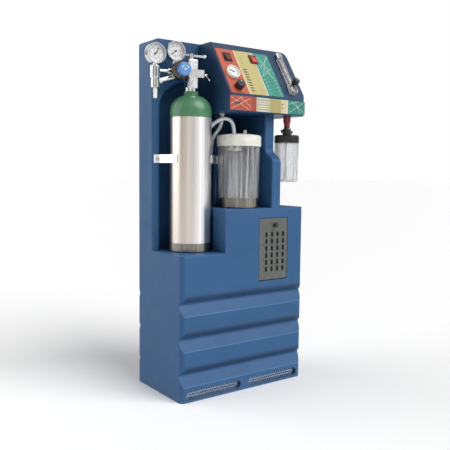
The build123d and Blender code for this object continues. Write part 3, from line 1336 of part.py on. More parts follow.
# ---------------------------------------------------------------- assembly
def all_parts():
    """Every sub-part by its name."""
    gauge_needle_angle = -60
    power_place, red_place = rocker_places()
    parts = {
        "housing_shell": housing(),
        "base_plate": base_plate(),
        "rear_cover": rear_cover(),
        "foot_grille_left": foot_grille(-1),
        "foot_grille_right": foot_grille(1),
        "filter_door": filter_door(),
        "door_knob": door_knob(),
        "door_hinge_pin": door_pin(),
        "filter_foam": filter_foam(),
        "console_panel": console_panel(),
        "lip_panel": lip_panel(),
        "rocker_bezels": rocker_bezels(),
        "power_rocker": rocker(power_place),
        "red_rocker": rocker(red_place),
        "vacuum_gauge_case": vacuum_gauge_case(),
        "vacuum_gauge_needle": vacuum_gauge_at(
            gauge_needle(VACUUM_GAUGE_R, VACUUM_GAUGE_DEPTH, gauge_needle_angle)),
        "vacuum_gauge_lens": vacuum_gauge_at(gauge_lens(VACUUM_GAUGE_R, VACUUM_GAUGE_DEPTH)),
        "vacuum_valve": vacuum_valve(),
        "vacuum_knob": vacuum_knob(),
        "flowmeter_body": flowmeter_body(),
        "flowmeter_cap": flowmeter_cap(),
        "flowmeter_float": flowmeter_float(),
        "flow_knob": flow_knob(),
        "oxygen_outlet": oxygen_outlet(),
        "wing_nut": wing_nut(),
        "humidifier_lid": humidifier_lid(),
        "humidifier_bottle": humidifier_bottle(),
        "humidifier_tube": humidifier_tube(),
        "jar_boot": jar_boot(),
        "jar_body": jar_body(),
        "jar_lid": jar_lid(),
        "jar_gasket": jar_gasket(),
        "jar_float_cage": jar_float_cage(),
        "jar_float": jar_float(),
        "vacuum_port": vacuum_port(),
        "suction_hose": hose(),
        "cylinder_boot": cylinder_boot(),
        "cylinder_body": cylinder_body(),
        "cylinder_valve": cylinder_valve(),
        "valve_handle": valve_handle(),
        "regulator_body": regulator_body(),
        "regulator_bonnet": regulator_bonnet(),
        "regulator_knob": regulator_knob(),
        "outlet_barb": outlet_barb(),
        "yoke_screw": yoke_screw(),
        "clamp_band": clamp_band(),
        "screws": Compound(cover_screws() + clamp_screws()),
        "pump_frame": pump_frame(),
        "pump_mounts": pump_mounts(),
        "motor_case": motor_case(),
        "pump_rotor": pump_rotor(),
        "pump_head": pump_head(),
        "vacuum_line": vacuum_line(),
        "mains_inlet": mains_inlet(),
    }
    parts.update(regulator_gauges())
    return parts


os.makedirs("parts", exist_ok=True)
for node, shape in all_parts().items():
    export_step(shape, "parts/" + node + ".step")
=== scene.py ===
from math import cos, pi, radians, sin

import bpy
from mathutils import Matrix, Vector


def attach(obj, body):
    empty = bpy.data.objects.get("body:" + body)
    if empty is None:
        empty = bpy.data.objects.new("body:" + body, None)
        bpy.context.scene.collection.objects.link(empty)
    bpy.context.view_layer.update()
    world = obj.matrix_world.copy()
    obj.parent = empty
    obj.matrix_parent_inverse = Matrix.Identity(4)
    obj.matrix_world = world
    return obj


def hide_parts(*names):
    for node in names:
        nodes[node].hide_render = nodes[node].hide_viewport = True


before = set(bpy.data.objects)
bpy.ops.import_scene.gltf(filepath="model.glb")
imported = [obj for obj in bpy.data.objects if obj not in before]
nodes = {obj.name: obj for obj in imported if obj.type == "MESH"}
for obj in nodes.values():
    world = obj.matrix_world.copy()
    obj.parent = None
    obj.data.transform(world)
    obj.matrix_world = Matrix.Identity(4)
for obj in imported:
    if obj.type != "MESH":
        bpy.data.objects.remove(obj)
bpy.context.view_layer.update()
MM = 0.001

# ---------------------------------------------------------------- places taken from the model
FRONT = -115.5
LIP_Z = 796.0
SLOPE_DEG = 57.1
PANEL_X = (-54.0, 126.0)
PANEL_T = 1.2
LIP_X = (-61.0, 201.0)
CYL_X, CYL_Y = -117.0, -18.0
GREEN_Z = 734.0
JAR_X, JAR_Y = 20.0, -50.0
BOTTLE_X, BOTTLE_Y = 161.5, -87.0
FLOW_X = 165.0
FLOW_H = 12.0
KNOB_Z = 853.0                         # regulator knob's axis
REG_TURN = 7.0
GROOVE_PITCH = 92.0
GROOVE_BASE = 100.0 - GROOVE_PITCH     # one pitch below the lowest groove's top
GROOVE_TOP_Z = 285.0                   # just above the highest groove
GROOVE_EDGE = 0.352                    # lower edge of a groove, as a share of the pitch
LIP_FACE = 1.0                         # the lip's film, out from the housing's front
LIP_MIDDLE_Z = 772.5
VACUUM_X, VACUUM_S = -25, 22           # vacuum knob, along and up the panel
VACUUM_KNOB_H = 1.3 + 17.0             # its face above the panel
FLOW_KNOB_S = 39
FLOW_KNOB_H = 16 + 4.8 + 14.0          # its face above the slope
REG_KNOB_X = -39.5
REG_KNOB_Y = -12 - 21 - 0.3 - 17.0     # its face, out from the regulator's axis
VACUUM_DIAL_H = 4.95 + 0.1
REG_DIAL_Y = -1.1
JAR_WALL = (502.0, 55.0, 668.0, 58.5)      # height and radius at the foot, then at the top
BOTTLE_WALL = (571.0, 32.5, 672.7, 34.5)
PRINT_GAP = 0.03                       # lifts printed marks clear of what they are printed on
FILM_PRINT_GAP = 0.04
DIAL_START, DIAL_SWEEP = -135, 270     # degrees clockwise from straight up
HOSE_R = 5.0
HOSE_ROUTE = [
    (3, -50, 698), (2, -50, 721), (-13, -47, 737), (-35, -40, 736), (-50, -26, 722),
    (-54, -5, 704), (-54, 20, 680), (-66, 38, 648), (-80, 46, 610), (-84, 48, 572),
    (-66, 50, 552), (-39, 49, 551), (-20, 45, 571), (-16, 38, 606), (-22, 24, 640),
    (-30, 10, 672), (-29, -2, 696), (-18, -17, 714), (-17, -20, 735),
]


def on_slope(x, s, h):
    """Matrix that puts a drawing on the console face: x along it, s up it, h out of it."""
    tilt = radians(SLOPE_DEG)
    along, out = (cos(tilt), sin(tilt)), (-sin(tilt), cos(tilt))
    place = Vector((x, FRONT + s * along[0] + h * out[0], LIP_Z + s * along[1] + h * out[1]))
    turn = Matrix.Rotation(tilt, 4, "X")
    return Matrix.Translation(place * MM) @ turn @ Matrix.Scale(MM, 4)


def on_front(x, y, z, turn_deg=0.0):
    """Matrix that puts a drawing on an upright face, turned about Z from facing the front."""
    stand = Matrix.Rotation(radians(-turn_deg), 4, "Z") @ Matrix.Rotation(radians(90), 4, "X")
    return Matrix.Translation(Vector((x, y, z)) * MM) @ stand @ Matrix.Scale(MM, 4)


def on_regulator(x, y, z):
    """Matrix that puts a drawing on the regulator, facing its front."""
    turn = radians(REG_TURN)
    return on_front(CYL_X + x * cos(turn) + y * sin(turn),
                    CYL_Y - x * sin(turn) + y * cos(turn), z, REG_TURN)


# ---------------------------------------------------------------- camera
CAMERA_PLACE = (-1.0367, -1.4406, 0.5972)
CAMERA_YAW, CAMERA_PITCH, CAMERA_ROLL = 0.6292, 0.0868, 0.0101      # radians
CAMERA_LENS, SENSOR_WIDTH = 50.41, 36.0


def add_camera():
    """Camera at the photograph's place and angle."""
    yaw, pitch, roll = CAMERA_YAW, CAMERA_PITCH, CAMERA_ROLL
    forward = Vector((sin(yaw) * cos(pitch), cos(yaw) * cos(pitch), -sin(pitch)))
    right = Vector((cos(yaw), -sin(yaw), 0))
    up = right.cross(forward)
    level = right * cos(roll) + up * sin(roll)
    top = up * cos(roll) - right * sin(roll)
    data = bpy.data.cameras.new("camera")
    data.lens, data.sensor_width = CAMERA_LENS, SENSOR_WIDTH
    camera = bpy.data.objects.new("camera", data)
    camera.matrix_world = Matrix((
        (level.x, top.x, -forward.x, CAMERA_PLACE[0]),
        (level.y, top.y, -forward.y, CAMERA_PLACE[1]),
        (level.z, top.z, -forward.z, CAMERA_PLACE[2]),
        (0, 0, 0, 1)))
    bpy.context.scene.collection.objects.link(camera)
    bpy.context.scene.camera = camera


# ---------------------------------------------------------------- materials
def srgb(red, green, blue):
    """Linear colour from 0-255 display values."""
    def linear(value):
        """One channel, by the standard display curve."""
        value /= 255
        return value / 12.92 if value <= 0.04045 else ((value + 0.055) / 1.055) ** 2.4
    return linear(red), linear(green), linear(blue), 1.0


def shade(colour, factor):
    """A lighter or darker version of a linear colour."""
    return tuple(min(1.0, c * factor) for c in colour[:3]) + (1.0,)


class Finish:
    """One material and the textures on it, all laid out in the object's own metres."""

    def __init__(self, name, colour, rough=0.4, metal=0.0, **sockets):
        self.material = bpy.data.materials.new(name)
        self.material.use_nodes = True
        self.tree = self.material.node_tree
        self.shader = self.tree.nodes["Principled BSDF"]
        self.place = self.tree.nodes.new("ShaderNodeTexCoord").outputs["Object"]
        self.base = colour
        self.normal = None
        for socket, value in dict(sockets, Base_Color=colour, Roughness=rough,
                                  Metallic=metal).items():
            self.shader.inputs[socket.replace("_", " ")].default_value = value

    def link(self, output, target):
        """Connect two sockets."""
        self.tree.links.new(output, target)

    def node(self, kind, inputs=(), **settings):
        """New node with settings, and with values or links on its inputs."""
        made = self.tree.nodes.new(kind)
        for name, value in settings.items():
            setattr(made, name, value)
        for key, value in dict(inputs).items():
            if isinstance(value, bpy.types.NodeSocket):
                self.link(value, made.inputs[key])
            else:
                made.inputs[key].default_value = value
        return made

    def noise(self, scale, detail=3.0, stretch=(1, 1, 1)):
        """Noise with about scale features in a metre, stretched along some axes."""
        mapped = self.node("ShaderNodeMapping", {"Vector": self.place, "Scale": stretch})
        made = self.node("ShaderNodeTexNoise", {"Vector": mapped.outputs[0], "Scale": scale,
                                                "Detail": detail})
        return made.outputs["Fac"]

    def cells(self, scale):
        """Distance to the nearest of about scale cells in a metre."""
        made = self.node("ShaderNodeTexVoronoi", {"Vector": self.place, "Scale": scale})
        return made.outputs["Distance"]

    def axis(self, name):
        """One coordinate, in metres."""
        return self.node("ShaderNodeSeparateXYZ", {0: self.place}).outputs[name]

    def maths(self, operation, first, second=0.0):
        """One sum, product or other operation on values or sockets."""
        return self.node("ShaderNodeMath", {0: first, 1: second}, operation=operation).outputs[0]

    def span(self, value, low, high, out_low=0.0, out_high=1.0):
        """Value from low..high brought to out_low..out_high, and kept inside."""
        made = self.node("ShaderNodeMapRange", {"Value": value, "From Min": low, "From Max": high,
                                                "To Min": out_low, "To Max": out_high})
        return made.outputs[0]

    def around(self, x, y, count):
        """Ripple that runs count times around an upright axis."""
        across = self.maths("SUBTRACT", self.axis("X"), x * MM)
        deep = self.maths("SUBTRACT", self.axis("Y"), y * MM)
        angle = self.maths("ARCTAN2", deep, across)
        return self.maths("SINE", self.maths("MULTIPLY", angle, count))

    def mix(self, factor, first, second):
        """Colour between two colours or colour sockets."""
        made = self.node("ShaderNodeMix", {"Factor": factor}, data_type="RGBA")
        for index, value in ((6, first), (7, second)):
            if isinstance(value, bpy.types.NodeSocket):
                self.link(value, made.inputs[index])
            else:
                made.inputs[index].default_value = value
        return made.outputs[2]

    def paint(self, colour):
        """Use a colour socket as the base colour."""
        self.link(colour, self.shader.inputs["Base Color"])
        return self

    def mottle(self, scale, low, high, detail=4.0, stretch=(1, 1, 1)):
        """Colour that wanders between two factors of the base colour."""
        factor = self.span(self.noise(scale, detail, stretch), 0.35, 0.65)
        return self.mix(factor, shade(self.base, low), shade(self.base, high))

    def gloss(self, value, low, high, out_low, out_high):
        """Roughness that follows a texture."""
        self.link(self.span(value, low, high, out_low, out_high), self.shader.inputs["Roughness"])
        return self

    def bump(self, height, depth_mm, strength=1.0):
        """Relief of a given depth, added to any relief before it."""
        inputs = {"Height": height, "Distance": depth_mm * MM, "Strength": strength}
        if self.normal:
            inputs["Normal"] = self.normal
        self.normal = self.node("ShaderNodeBump", inputs).outputs[0]
        self.link(self.normal, self.shader.inputs["Normal"])
        return self


# where the housing gets painted shade and painted highlights, in metres: each pair is none of it,
# then all of it
RECESS_FACE, RECESS_FLOOR = (0.1152, 0.1120), (0.0985, 0.1000)
RECESS_SIDE = (0.197, 0.188)
# painted shade under each groove's upper lip: where it rises, how strong and how dark
GROOVE_SHADE_RISE = (0.62, 0.84)              # shares of the groove pitch, up to the groove's lip
GROOVE_SHADE_AMOUNT, GROOVE_SHADE_TONE = 0.75, 0.30
# painted highlight along each groove's lower edge: where, how wide, how strong and how light
EDGE_HIGHLIGHT_FACE = (0.1125, 0.1145)
EDGE_HIGHLIGHT_TOP_Z = 0.24
EDGE_HIGHLIGHT_WIDTH = (0.022, 0.004)          # shares of the pitch, to either side of the edge
EDGE_HIGHLIGHT_AMOUNT, EDGE_HIGHLIGHT_TONE = 0.6, 2.0
# painted shade on the console and on the wall behind the regulator
DARK_X, DARK_Y, DARK_Z = (-0.17, -0.07), (0.09, -0.02), (0.70, 0.80)
DARK_AMOUNT, DARK_SHADE = 0.85, 0.34


def groove_shade_and_highlight(f, tone, colour):
    """Painted shade under the upper lip of each groove and a painted highlight along its lower
    edge.
    """
    rise = f.maths("DIVIDE", f.maths("SUBTRACT", f.axis("Z"), GROOVE_BASE * MM), GROOVE_PITCH * MM)
    place = f.maths("FRACT", rise)
    reach = f.maths("ABSOLUTE", f.axis("Y"))
    across = f.maths("ABSOLUTE", f.axis("X"))
    recessed = f.maths("MULTIPLY", f.span(reach, *RECESS_FACE), f.span(reach, *RECESS_FLOOR))
    recessed = f.maths("MULTIPLY", recessed, f.maths("LESS_THAN", f.axis("Z"), GROOVE_TOP_Z * MM))
    recessed = f.maths("MULTIPLY", recessed, f.span(across, *RECESS_SIDE))
    # painted shade: darker under each groove's upper lip
    painted_shade = f.maths("MULTIPLY", f.span(place, *GROOVE_SHADE_RISE), recessed)
    tone = f.mix(f.maths("MULTIPLY", painted_shade, GROOVE_SHADE_AMOUNT), tone, shade(colour, GROOVE_SHADE_TONE))
    # painted highlight: a lighter line along each groove's lower edge
    from_edge = f.maths("ABSOLUTE", f.maths("SUBTRACT", place, GROOVE_EDGE))
    below_top = f.maths("LESS_THAN", f.axis("Z"), EDGE_HIGHLIGHT_TOP_Z)
    face = f.maths("MULTIPLY", f.span(reach, *EDGE_HIGHLIGHT_FACE), below_top)
    painted_highlight = f.maths("MULTIPLY", f.span(from_edge, *EDGE_HIGHLIGHT_WIDTH), face)
    return f.mix(f.maths("MULTIPLY", painted_highlight, EDGE_HIGHLIGHT_AMOUNT), tone, shade(colour, EDGE_HIGHLIGHT_TONE))


def painted_console_shade(f, tone, colour):
    """Painted shade: darker blue on the console and on the wall behind the regulator."""
    high = f.maths("MULTIPLY", f.span(f.axis("Z"), *DARK_Z), f.span(f.axis("Y"), *DARK_Y))
    high = f.maths("MULTIPLY", high, f.span(f.axis("X"), *DARK_X))
    return f.mix(f.maths("MULTIPLY", high, DARK_AMOUNT), tone, shade(colour, DARK_SHADE))


def housing_blue(name, colour, grain=1.0):
    """Rotation-moulded plastic: orange peel, uneven gloss, painted shade and highlights, and dust
    near the floor.
    """
    f = Finish(name, colour, rough=0.46, Specular_IOR_Level=0.26)
    tone = f.mottle(7, 0.92, 1.06)
    speck = f.span(f.noise(900, 2), 0.56, 0.72, 0.0, 0.22)
    tone = f.mix(speck, tone, shade(colour, 1.9))
    cloud = f.span(f.noise(240, 3), 0.35, 0.68, 0.0, 0.30)
    tone = f.mix(cloud, tone, shade(colour, 1.3))
    # painted shade on the console and on the wall behind the regulator
    tone = painted_console_shade(f, tone, colour)
    # painted shade under the groove lips and a painted highlight along their lower edges
    tone = groove_shade_and_highlight(f, tone, colour)
    low = f.maths("MULTIPLY", f.span(f.axis("Z"), 0.0, 0.05, 0.12, 0.0), f.noise(40, 5))
    f.paint(f.mix(low, tone, srgb(140, 145, 150)))
    f.gloss(f.noise(30, 5), 0.3, 0.7, 0.42, 0.54)
    f.bump(f.noise(420, 3), 0.16 * grain)
    return f.bump(f.noise(1500, 2), 0.07 * grain)


def moulded(name, colour, rough=0.35, grain=0.05, **sockets):
    """Small moulded plastic part with a fine grain and handling marks."""
    f = Finish(name, colour, rough, **sockets)
    f.paint(f.mottle(60, 0.9, 1.08))
    f.gloss(f.noise(140, 4), 0.3, 0.7, rough - 0.08, rough + 0.12)
    return f.bump(f.noise(1800, 3), grain)


def plated(name, colour, rough=0.14, lines=(1, 1, 1), depth=0.01):
    """Bright metal with smudges and faint lines from its making."""
    f = Finish(name, colour, rough, metal=1.0)
    f.paint(f.mottle(45, 0.84, 1.04))
    f.gloss(f.noise(90, 5), 0.3, 0.72, rough, rough + 0.08)
    return f.bump(f.noise(700, 4, lines), depth)


def brushed(name, colour, rough, lines, depth=0.03):
    """Metal with directional scratches."""
    f = Finish(name, colour, rough, metal=1.0)
    f.paint(f.mottle(300, 0.78, 1.1, 5, lines))
    f.gloss(f.noise(200, 4, lines), 0.3, 0.7, rough - 0.1, rough + 0.14)
    return f.bump(f.noise(400, 4, lines), depth)


def clear(name, colour, rough=0.03, milky=0.0, wave=0.12):
    """Clear moulded plastic with slight flow waviness and wipe marks."""
    f = Finish(name, colour, rough, Transmission_Weight=1.0 - milky, IOR=1.45)
    f.gloss(f.noise(50, 5), 0.35, 0.75, rough, rough + 0.10)
    return f.bump(f.noise(60, 2), wave)


def ribbed_clear(name, colour, x, y, count, depth, milky, streaky):
    """Clear plastic with upright ribs around an axis and milky upright draw streaks."""
    f = clear(name, colour, 0.05)
    streak = f.span(f.noise(170, 3, (1, 1, 0.02)), 0.50, 0.60, 1.0 - milky, 1.0 - streaky)
    f.link(streak, f.shader.inputs["Transmission Weight"])
    return f.bump(f.around(x, y, count), depth)


def stripes(name, edges, colours):
    """Printed film whose colours change at places along X, with a fine print texture."""
    f = Finish(name, colours[0], rough=0.4, Specular_IOR_Level=0.3)
    left, right = edges[0], edges[-1]
    bands = f.node("ShaderNodeValToRGB", {0: f.span(f.axis("X"), left * MM, right * MM)})
    bands.color_ramp.interpolation = "CONSTANT"
    stops = bands.color_ramp.elements
    for index, (edge, colour) in enumerate(zip(edges, colours)):
        stop = stops[index] if index < 2 else stops.new(1.0)
        stop.position = (edge - left) / (right - left)
        stop.color = colour
    ink = f.span(f.noise(1600, 2), 0.35, 0.7, 0.0, 0.06)
    tone = f.mix(ink, bands.outputs[0], srgb(250, 250, 245))
    worn = f.maths("MULTIPLY", f.span(f.noise(25, 6), 0.55, 0.75), 0.12)
    f.paint(f.mix(worn, tone, srgb(120, 105, 90)))
    f.gloss(f.noise(70, 4), 0.3, 0.7, 0.36, 0.5)
    return f.bump(f.noise(500, 2), 0.02)


def cylinder_finish():
    """Drawn aluminium below with a painted warm reflection on its left side, green paint on the
    shoulder, with a crisp painted edge.
    """
    f = Finish("cylinder_finish", (0.80, 0.79, 0.78, 1), rough=0.3, metal=1.0)
    streak = f.noise(170, 4, (1, 1, 0.004))
    metal = f.mix(f.span(streak, 0.40, 0.62), (0.70, 0.70, 0.71, 1), (0.90, 0.90, 0.92, 1))
    # painted reflection: a warm cast on the bare metal's left (-X) side
    painted_warm_reflection = f.span(f.axis("X"), (CYL_X + 5) * MM, (CYL_X - 45) * MM, 0.0, 0.8)
    metal = f.mix(painted_warm_reflection, metal, srgb(204, 190, 176))
    green = f.mix(f.noise(40, 3), srgb(58, 106, 72), srgb(76, 126, 88))
    edge = f.maths("ADD", f.axis("Z"), f.span(f.noise(260, 3), 0.3, 0.7, -0.0003, 0.0003))
    painted = f.maths("GREATER_THAN", edge, GREEN_Z * MM)
    f.paint(f.mix(painted, metal, green))
    f.link(f.maths("SUBTRACT", 1.0, painted), f.shader.inputs["Metallic"])
    bare = f.span(f.noise(90, 3, (1, 1, 0.01)), 0.3, 0.7, 0.28, 0.40)
    f.link(bare, f.shader.inputs["Roughness"])
    return f.bump(f.noise(420, 3, (1, 1, 0.01)), 0.004)


def foam():
    """Open-cell filter foam."""
    f = Finish("filter_foam", srgb(40, 40, 44), rough=0.95)
    f.paint(f.mix(f.span(f.cells(450), 0.1, 0.6), srgb(14, 14, 16), srgb(70, 70, 74)))
    return f.bump(f.cells(450), 1.2)


def rubber(name, colour, rough=0.6):
    """Matt rubber with a slight bloom."""
    f = Finish(name, colour, rough, Sheen_Weight=0.15)
    f.paint(f.mottle(90, 0.85, 1.2))
    f.gloss(f.noise(120, 4), 0.3, 0.7, rough - 0.1, rough + 0.15)
    return f.bump(f.noise(900, 3), 0.08)


def silicone():
    """Milky hose: soft light through it, faint draw lines and a little dust."""
    f = Finish("hose_silicone", srgb(232, 236, 236), rough=0.3, Subsurface_Weight=0.35,
               Subsurface_Scale=0.006, Coat_Weight=0.2)
    f.shader.inputs["Subsurface Radius"].default_value = (1.0, 1.0, 1.0)
    f.paint(f.mottle(90, 0.93, 1.03))
    f.gloss(f.noise(160, 4), 0.3, 0.7, 0.24, 0.42)
    return f.bump(f.noise(700, 2), 0.05)


def ink(name, colour, rough=0.4):
    """Screen-printed ink: slightly uneven density."""
    f = Finish(name, colour, rough)
    f.paint(f.mottle(1400, 0.85, 1.15))
    return f.bump(f.noise(2500, 2), 0.01)


ORANGE = srgb(176, 72, 44)
BEIGE = srgb(176, 164, 104)
CREAM = srgb(208, 202, 166)
TEAL = srgb(24, 128, 112)
PALE = srgb(206, 214, 200)

blue = housing_blue("housing_plastic", srgb(41, 80, 120))
cover_blue = housing_blue("cover_plastic", srgb(37, 72, 110), 0.6)
steel = brushed("zinc_steel", (0.62, 0.63, 0.65, 1), 0.34, (1, 1, 0.05))
grille_steel = brushed("grille_steel", (0.26, 0.34, 0.48, 1), 0.3, (0.05, 1, 1))
strap_steel = brushed("strap_steel", (0.86, 0.87, 0.88, 1), 0.36, (0.06, 0.06, 1), 0.015)
chrome = plated("chrome", (0.66, 0.66, 0.67, 1), 0.05)
pale_chrome = plated("satin_chrome", (0.78, 0.78, 0.78, 1), 0.14)
bonnet_metal = brushed("bonnet_metal", srgb(96, 88, 80), 0.36, (1, 0.05, 1))
boot_metal = brushed("boot_metal", srgb(136, 132, 126), 0.26, (1.0, 1.0, 0.02), 0.03)
cast = brushed("cast_metal", (0.5, 0.51, 0.53, 1), 0.5, (1, 1, 1), 0.25)
black = moulded("black_plastic", srgb(26, 26, 28), 0.3)
door_grey = moulded("door_plastic", srgb(78, 84, 80), 0.45, 0.1)
brown = moulded("brown_plastic", srgb(84, 44, 34), 0.28)
red = moulded("red_plastic", srgb(190, 62, 44), 0.28)
maroon = moulded("maroon_plastic", srgb(120, 24, 28), 0.22, Coat_Weight=0.4)
white = moulded("white_plastic", srgb(232, 231, 224), 0.32)
lid_white = moulded("lid_plastic", srgb(214, 214, 206), 0.36, 0.08)
knob_blue = moulded("knob_plastic", srgb(84, 132, 190), 0.3)
needle_paint = moulded("needle_paint", srgb(20, 26, 34), 0.4, 0.01)
seal = rubber("seal_rubber", srgb(30, 30, 32))
lens = clear("gauge_lens", (0.99, 0.995, 1.0, 1), 0.01, 0.0, 0.01)
jar_clear = ribbed_clear("jar_plastic", (0.99, 0.99, 1.0, 1), JAR_X, JAR_Y, 14, 0.08, 0.04,
                         0.26)
bottle_clear = ribbed_clear("bottle_plastic", (0.96, 0.97, 0.98, 1), BOTTLE_X, BOTTLE_Y, 30, 0.5,
                            0.14, 0.45)
flow_clear = clear("flowmeter_plastic", srgb(228, 222, 222), 0.05, 0.2, 0.02)
hose_finish = silicone()
LIP_COLOURS = (ORANGE, srgb(160, 60, 40), CREAM, BEIGE, CREAM, PALE, TEAL, TEAL)
# painted shade: the lip's print colours are all darkened
lip_print = stripes("lip_print", (LIP_X[0], 10, 26, 72, 112, 135, 138, LIP_X[1]),
                    tuple(shade(colour, 0.78) for colour in LIP_COLOURS))
panel_print = stripes("panel_print", (PANEL_X[0], 5.5, 8, 68.5, 71, PANEL_X[1]),
                      (ORANGE, CREAM, BEIGE, PALE, TEAL, TEAL))

NODE_FINISHES = {
    "housing_shell": blue, "rear_cover": cover_blue, "base_plate": steel,
    "foot_grille_left": grille_steel, "foot_grille_right": grille_steel,
    "filter_door": door_grey, "door_knob": black, "door_hinge_pin": steel, "filter_foam": foam(),
    "console_panel": panel_print, "lip_panel": lip_print, "rocker_bezels": black,
    "power_rocker": brown, "red_rocker": red, "vacuum_gauge_case": white,
    "vacuum_gauge_needle": needle_paint, "vacuum_gauge_lens": lens, "vacuum_valve": steel,
    "vacuum_knob": black, "flowmeter_body": flow_clear, "flowmeter_cap": pale_chrome,
    "flowmeter_float": chrome, "flow_knob": black, "oxygen_outlet": maroon, "wing_nut": black,
    "humidifier_lid": black, "humidifier_bottle": bottle_clear, "humidifier_tube": white,
    "jar_boot": boot_metal, "jar_body": jar_clear, "jar_lid": lid_white, "jar_gasket": seal,
    "jar_float_cage": white, "jar_float": white, "vacuum_port": white,
    "suction_hose": hose_finish, "cylinder_boot": boot_metal, "cylinder_body": cylinder_finish(),
    "cylinder_valve": pale_chrome, "valve_handle": chrome, "regulator_body": chrome,
    "regulator_bonnet": bonnet_metal, "regulator_knob": knob_blue, "outlet_barb": white,
    "yoke_screw": chrome, "clamp_band": strap_steel, "screws": steel, "pump_frame": steel,
    "pump_mounts": seal, "motor_case": cast, "pump_rotor": steel, "pump_head": cast,
    "vacuum_line": hose_finish, "mains_inlet": black, "tank_gauge_case": chrome,
    "tank_gauge_needle": needle_paint, "tank_gauge_lens": lens, "line_gauge_case": chrome,
    "line_gauge_needle": needle_paint, "line_gauge_lens": lens,
}


def dress_nodes():
    """Put each finish on its CAD node."""
    for name, finish in NODE_FINISHES.items():
        slots = nodes[name].data.materials
        for index in range(len(slots)):
            slots[index] = finish.material


# ---------------------------------------------------------------- printed marks and dials
INKS = {
    "dial_white": ink("dial_white", srgb(250, 251, 253)),
    "dark": ink("ink_dark", srgb(36, 32, 34)),
    "white": ink("ink_white", srgb(240, 240, 232)),
    "red": ink("ink_red", srgb(196, 48, 40)),
    "green": ink("ink_green", srgb(52, 140, 84)),
    "blue": ink("ink_blue", srgb(60, 110, 176)),
    "rust": ink("ink_rust", srgb(168, 66, 40)),
    "grey": ink("ink_grey", srgb(128, 132, 138)),
}
INK_NAMES = list(INKS)


class Print:
    """Flat printed shapes in millimetres on a face, gathered into one piece."""

    def __init__(self, name, body, slot, place):
        self.name, self.body, self.slot, self.place = name, body, slot, place
        self.points, self.faces, self.inks = [], [], []

    def shape(self, outline, ink_name, h=0.0):
        """One flat polygon."""
        first = len(self.points)
        self.points += [Vector((x, y, h)) for x, y in outline]
        self.faces.append(tuple(range(first, first + len(outline))))
        self.inks.append(INK_NAMES.index(ink_name))

    def line(self, a, b, width, ink_name, h=0.05):
        """Straight stroke from a to b."""
        along = (Vector(b) - Vector(a)).normalized() * width / 2
        side = Vector((-along.y, along.x))
        a, b = Vector(a), Vector(b)
        self.shape([a - side, b - side, b + side, a + side], ink_name, h)

    def rings(self, x, y, outer, inner, start, end, ink_name, h=0.05):
        """Part of a flat ring, angles clockwise from straight up."""
        steps = max(2, int(abs(end - start) / 6))
        turns = [radians(start + (end - start) * i / steps) for i in range(steps + 1)]
        for low, high in zip(turns, turns[1:]):
            corners = [(outer, low), (outer, high), (inner, high), (inner, low)]
            self.shape([(x + r * sin(t), y + r * cos(t)) for r, t in corners], ink_name, h)

    def disc(self, x, y, radius, ink_name, h=0.0, sides=64):
        """Filled circle."""
        turns = [2 * pi * i / sides for i in range(sides)]
        self.shape([(x + radius * cos(t), y + radius * sin(t)) for t in turns], ink_name, h)

    def number(self, text, x, y, size, ink_name, h=0.06):
        """Small printed number."""
        curve = bpy.data.curves.new("number", "FONT")
        curve.body, curve.size = text, size
        curve.align_x, curve.align_y = "CENTER", "CENTER"
        curve.resolution_u = 2
        made = bpy.data.objects.new("number", curve)
        bpy.context.scene.collection.objects.link(made)
        mesh = bpy.data.meshes.new_from_object(made)
        first = len(self.points)
        self.points += [Vector((x + v.co.x, y + v.co.y, h)) for v in mesh.vertices]
        for face in mesh.polygons:
            self.faces.append(tuple(first + index for index in face.vertices))
            self.inks.append(INK_NAMES.index(ink_name))
        bpy.data.objects.remove(made)
        bpy.data.meshes.remove(mesh)

    def finish(self):
        """Make the mesh and ride it on its body."""
        mesh = bpy.data.meshes.new(self.name)
        mesh.from_pydata([self.place @ p for p in self.points], [], self.faces)
        for name in INK_NAMES:
            mesh.materials.append(INKS[name].material)
        mesh.polygons.foreach_set("material_index", self.inks)
        mesh.update()
        piece = bpy.data.objects.new(self.name, mesh)
        bpy.context.scene.collection.objects.link(piece)
        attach(piece, self.body)
        return piece


def gauge_dial(name, slot, place, radius, top, zones):
    """Dial face: rim line, ticks, numbers up to top, and coloured arcs."""
    dial = Print(name, "station", slot, place)
    dial.disc(0, 0, radius, "dial_white")
    dial.rings(0, 0, radius * 0.97, radius * 0.955, 0, 360, "grey")
    for start, end, ink_name in zones:
        dial.rings(0, 0, radius * 0.70, radius * 0.65, start, end, ink_name, 0.04)
    divisions = 50
    for index in range(divisions + 1):
        angle = radians(DIAL_START + DIAL_SWEEP * index / divisions)
        major = index % 10 == 0
        inner = radius * (0.76 if major else 0.84)
        way = Vector((sin(angle), cos(angle)))
        dial.line(way * inner, way * radius * 0.92, radius * (0.028 if major else 0.014), "dark")
        if major:
            dial.number(str(top * index // divisions), *(way * radius * 0.55), radius * 0.15,
                        "dark")
    for half, drop, width, ink_name in ((0.2, 0.5, 0.05, "blue"), (0.14, 0.6, 0.03, "grey")):
        dial.line((-radius * half, -radius * drop), (radius * half, -radius * drop),
                  radius * width, ink_name)
    return dial.finish()


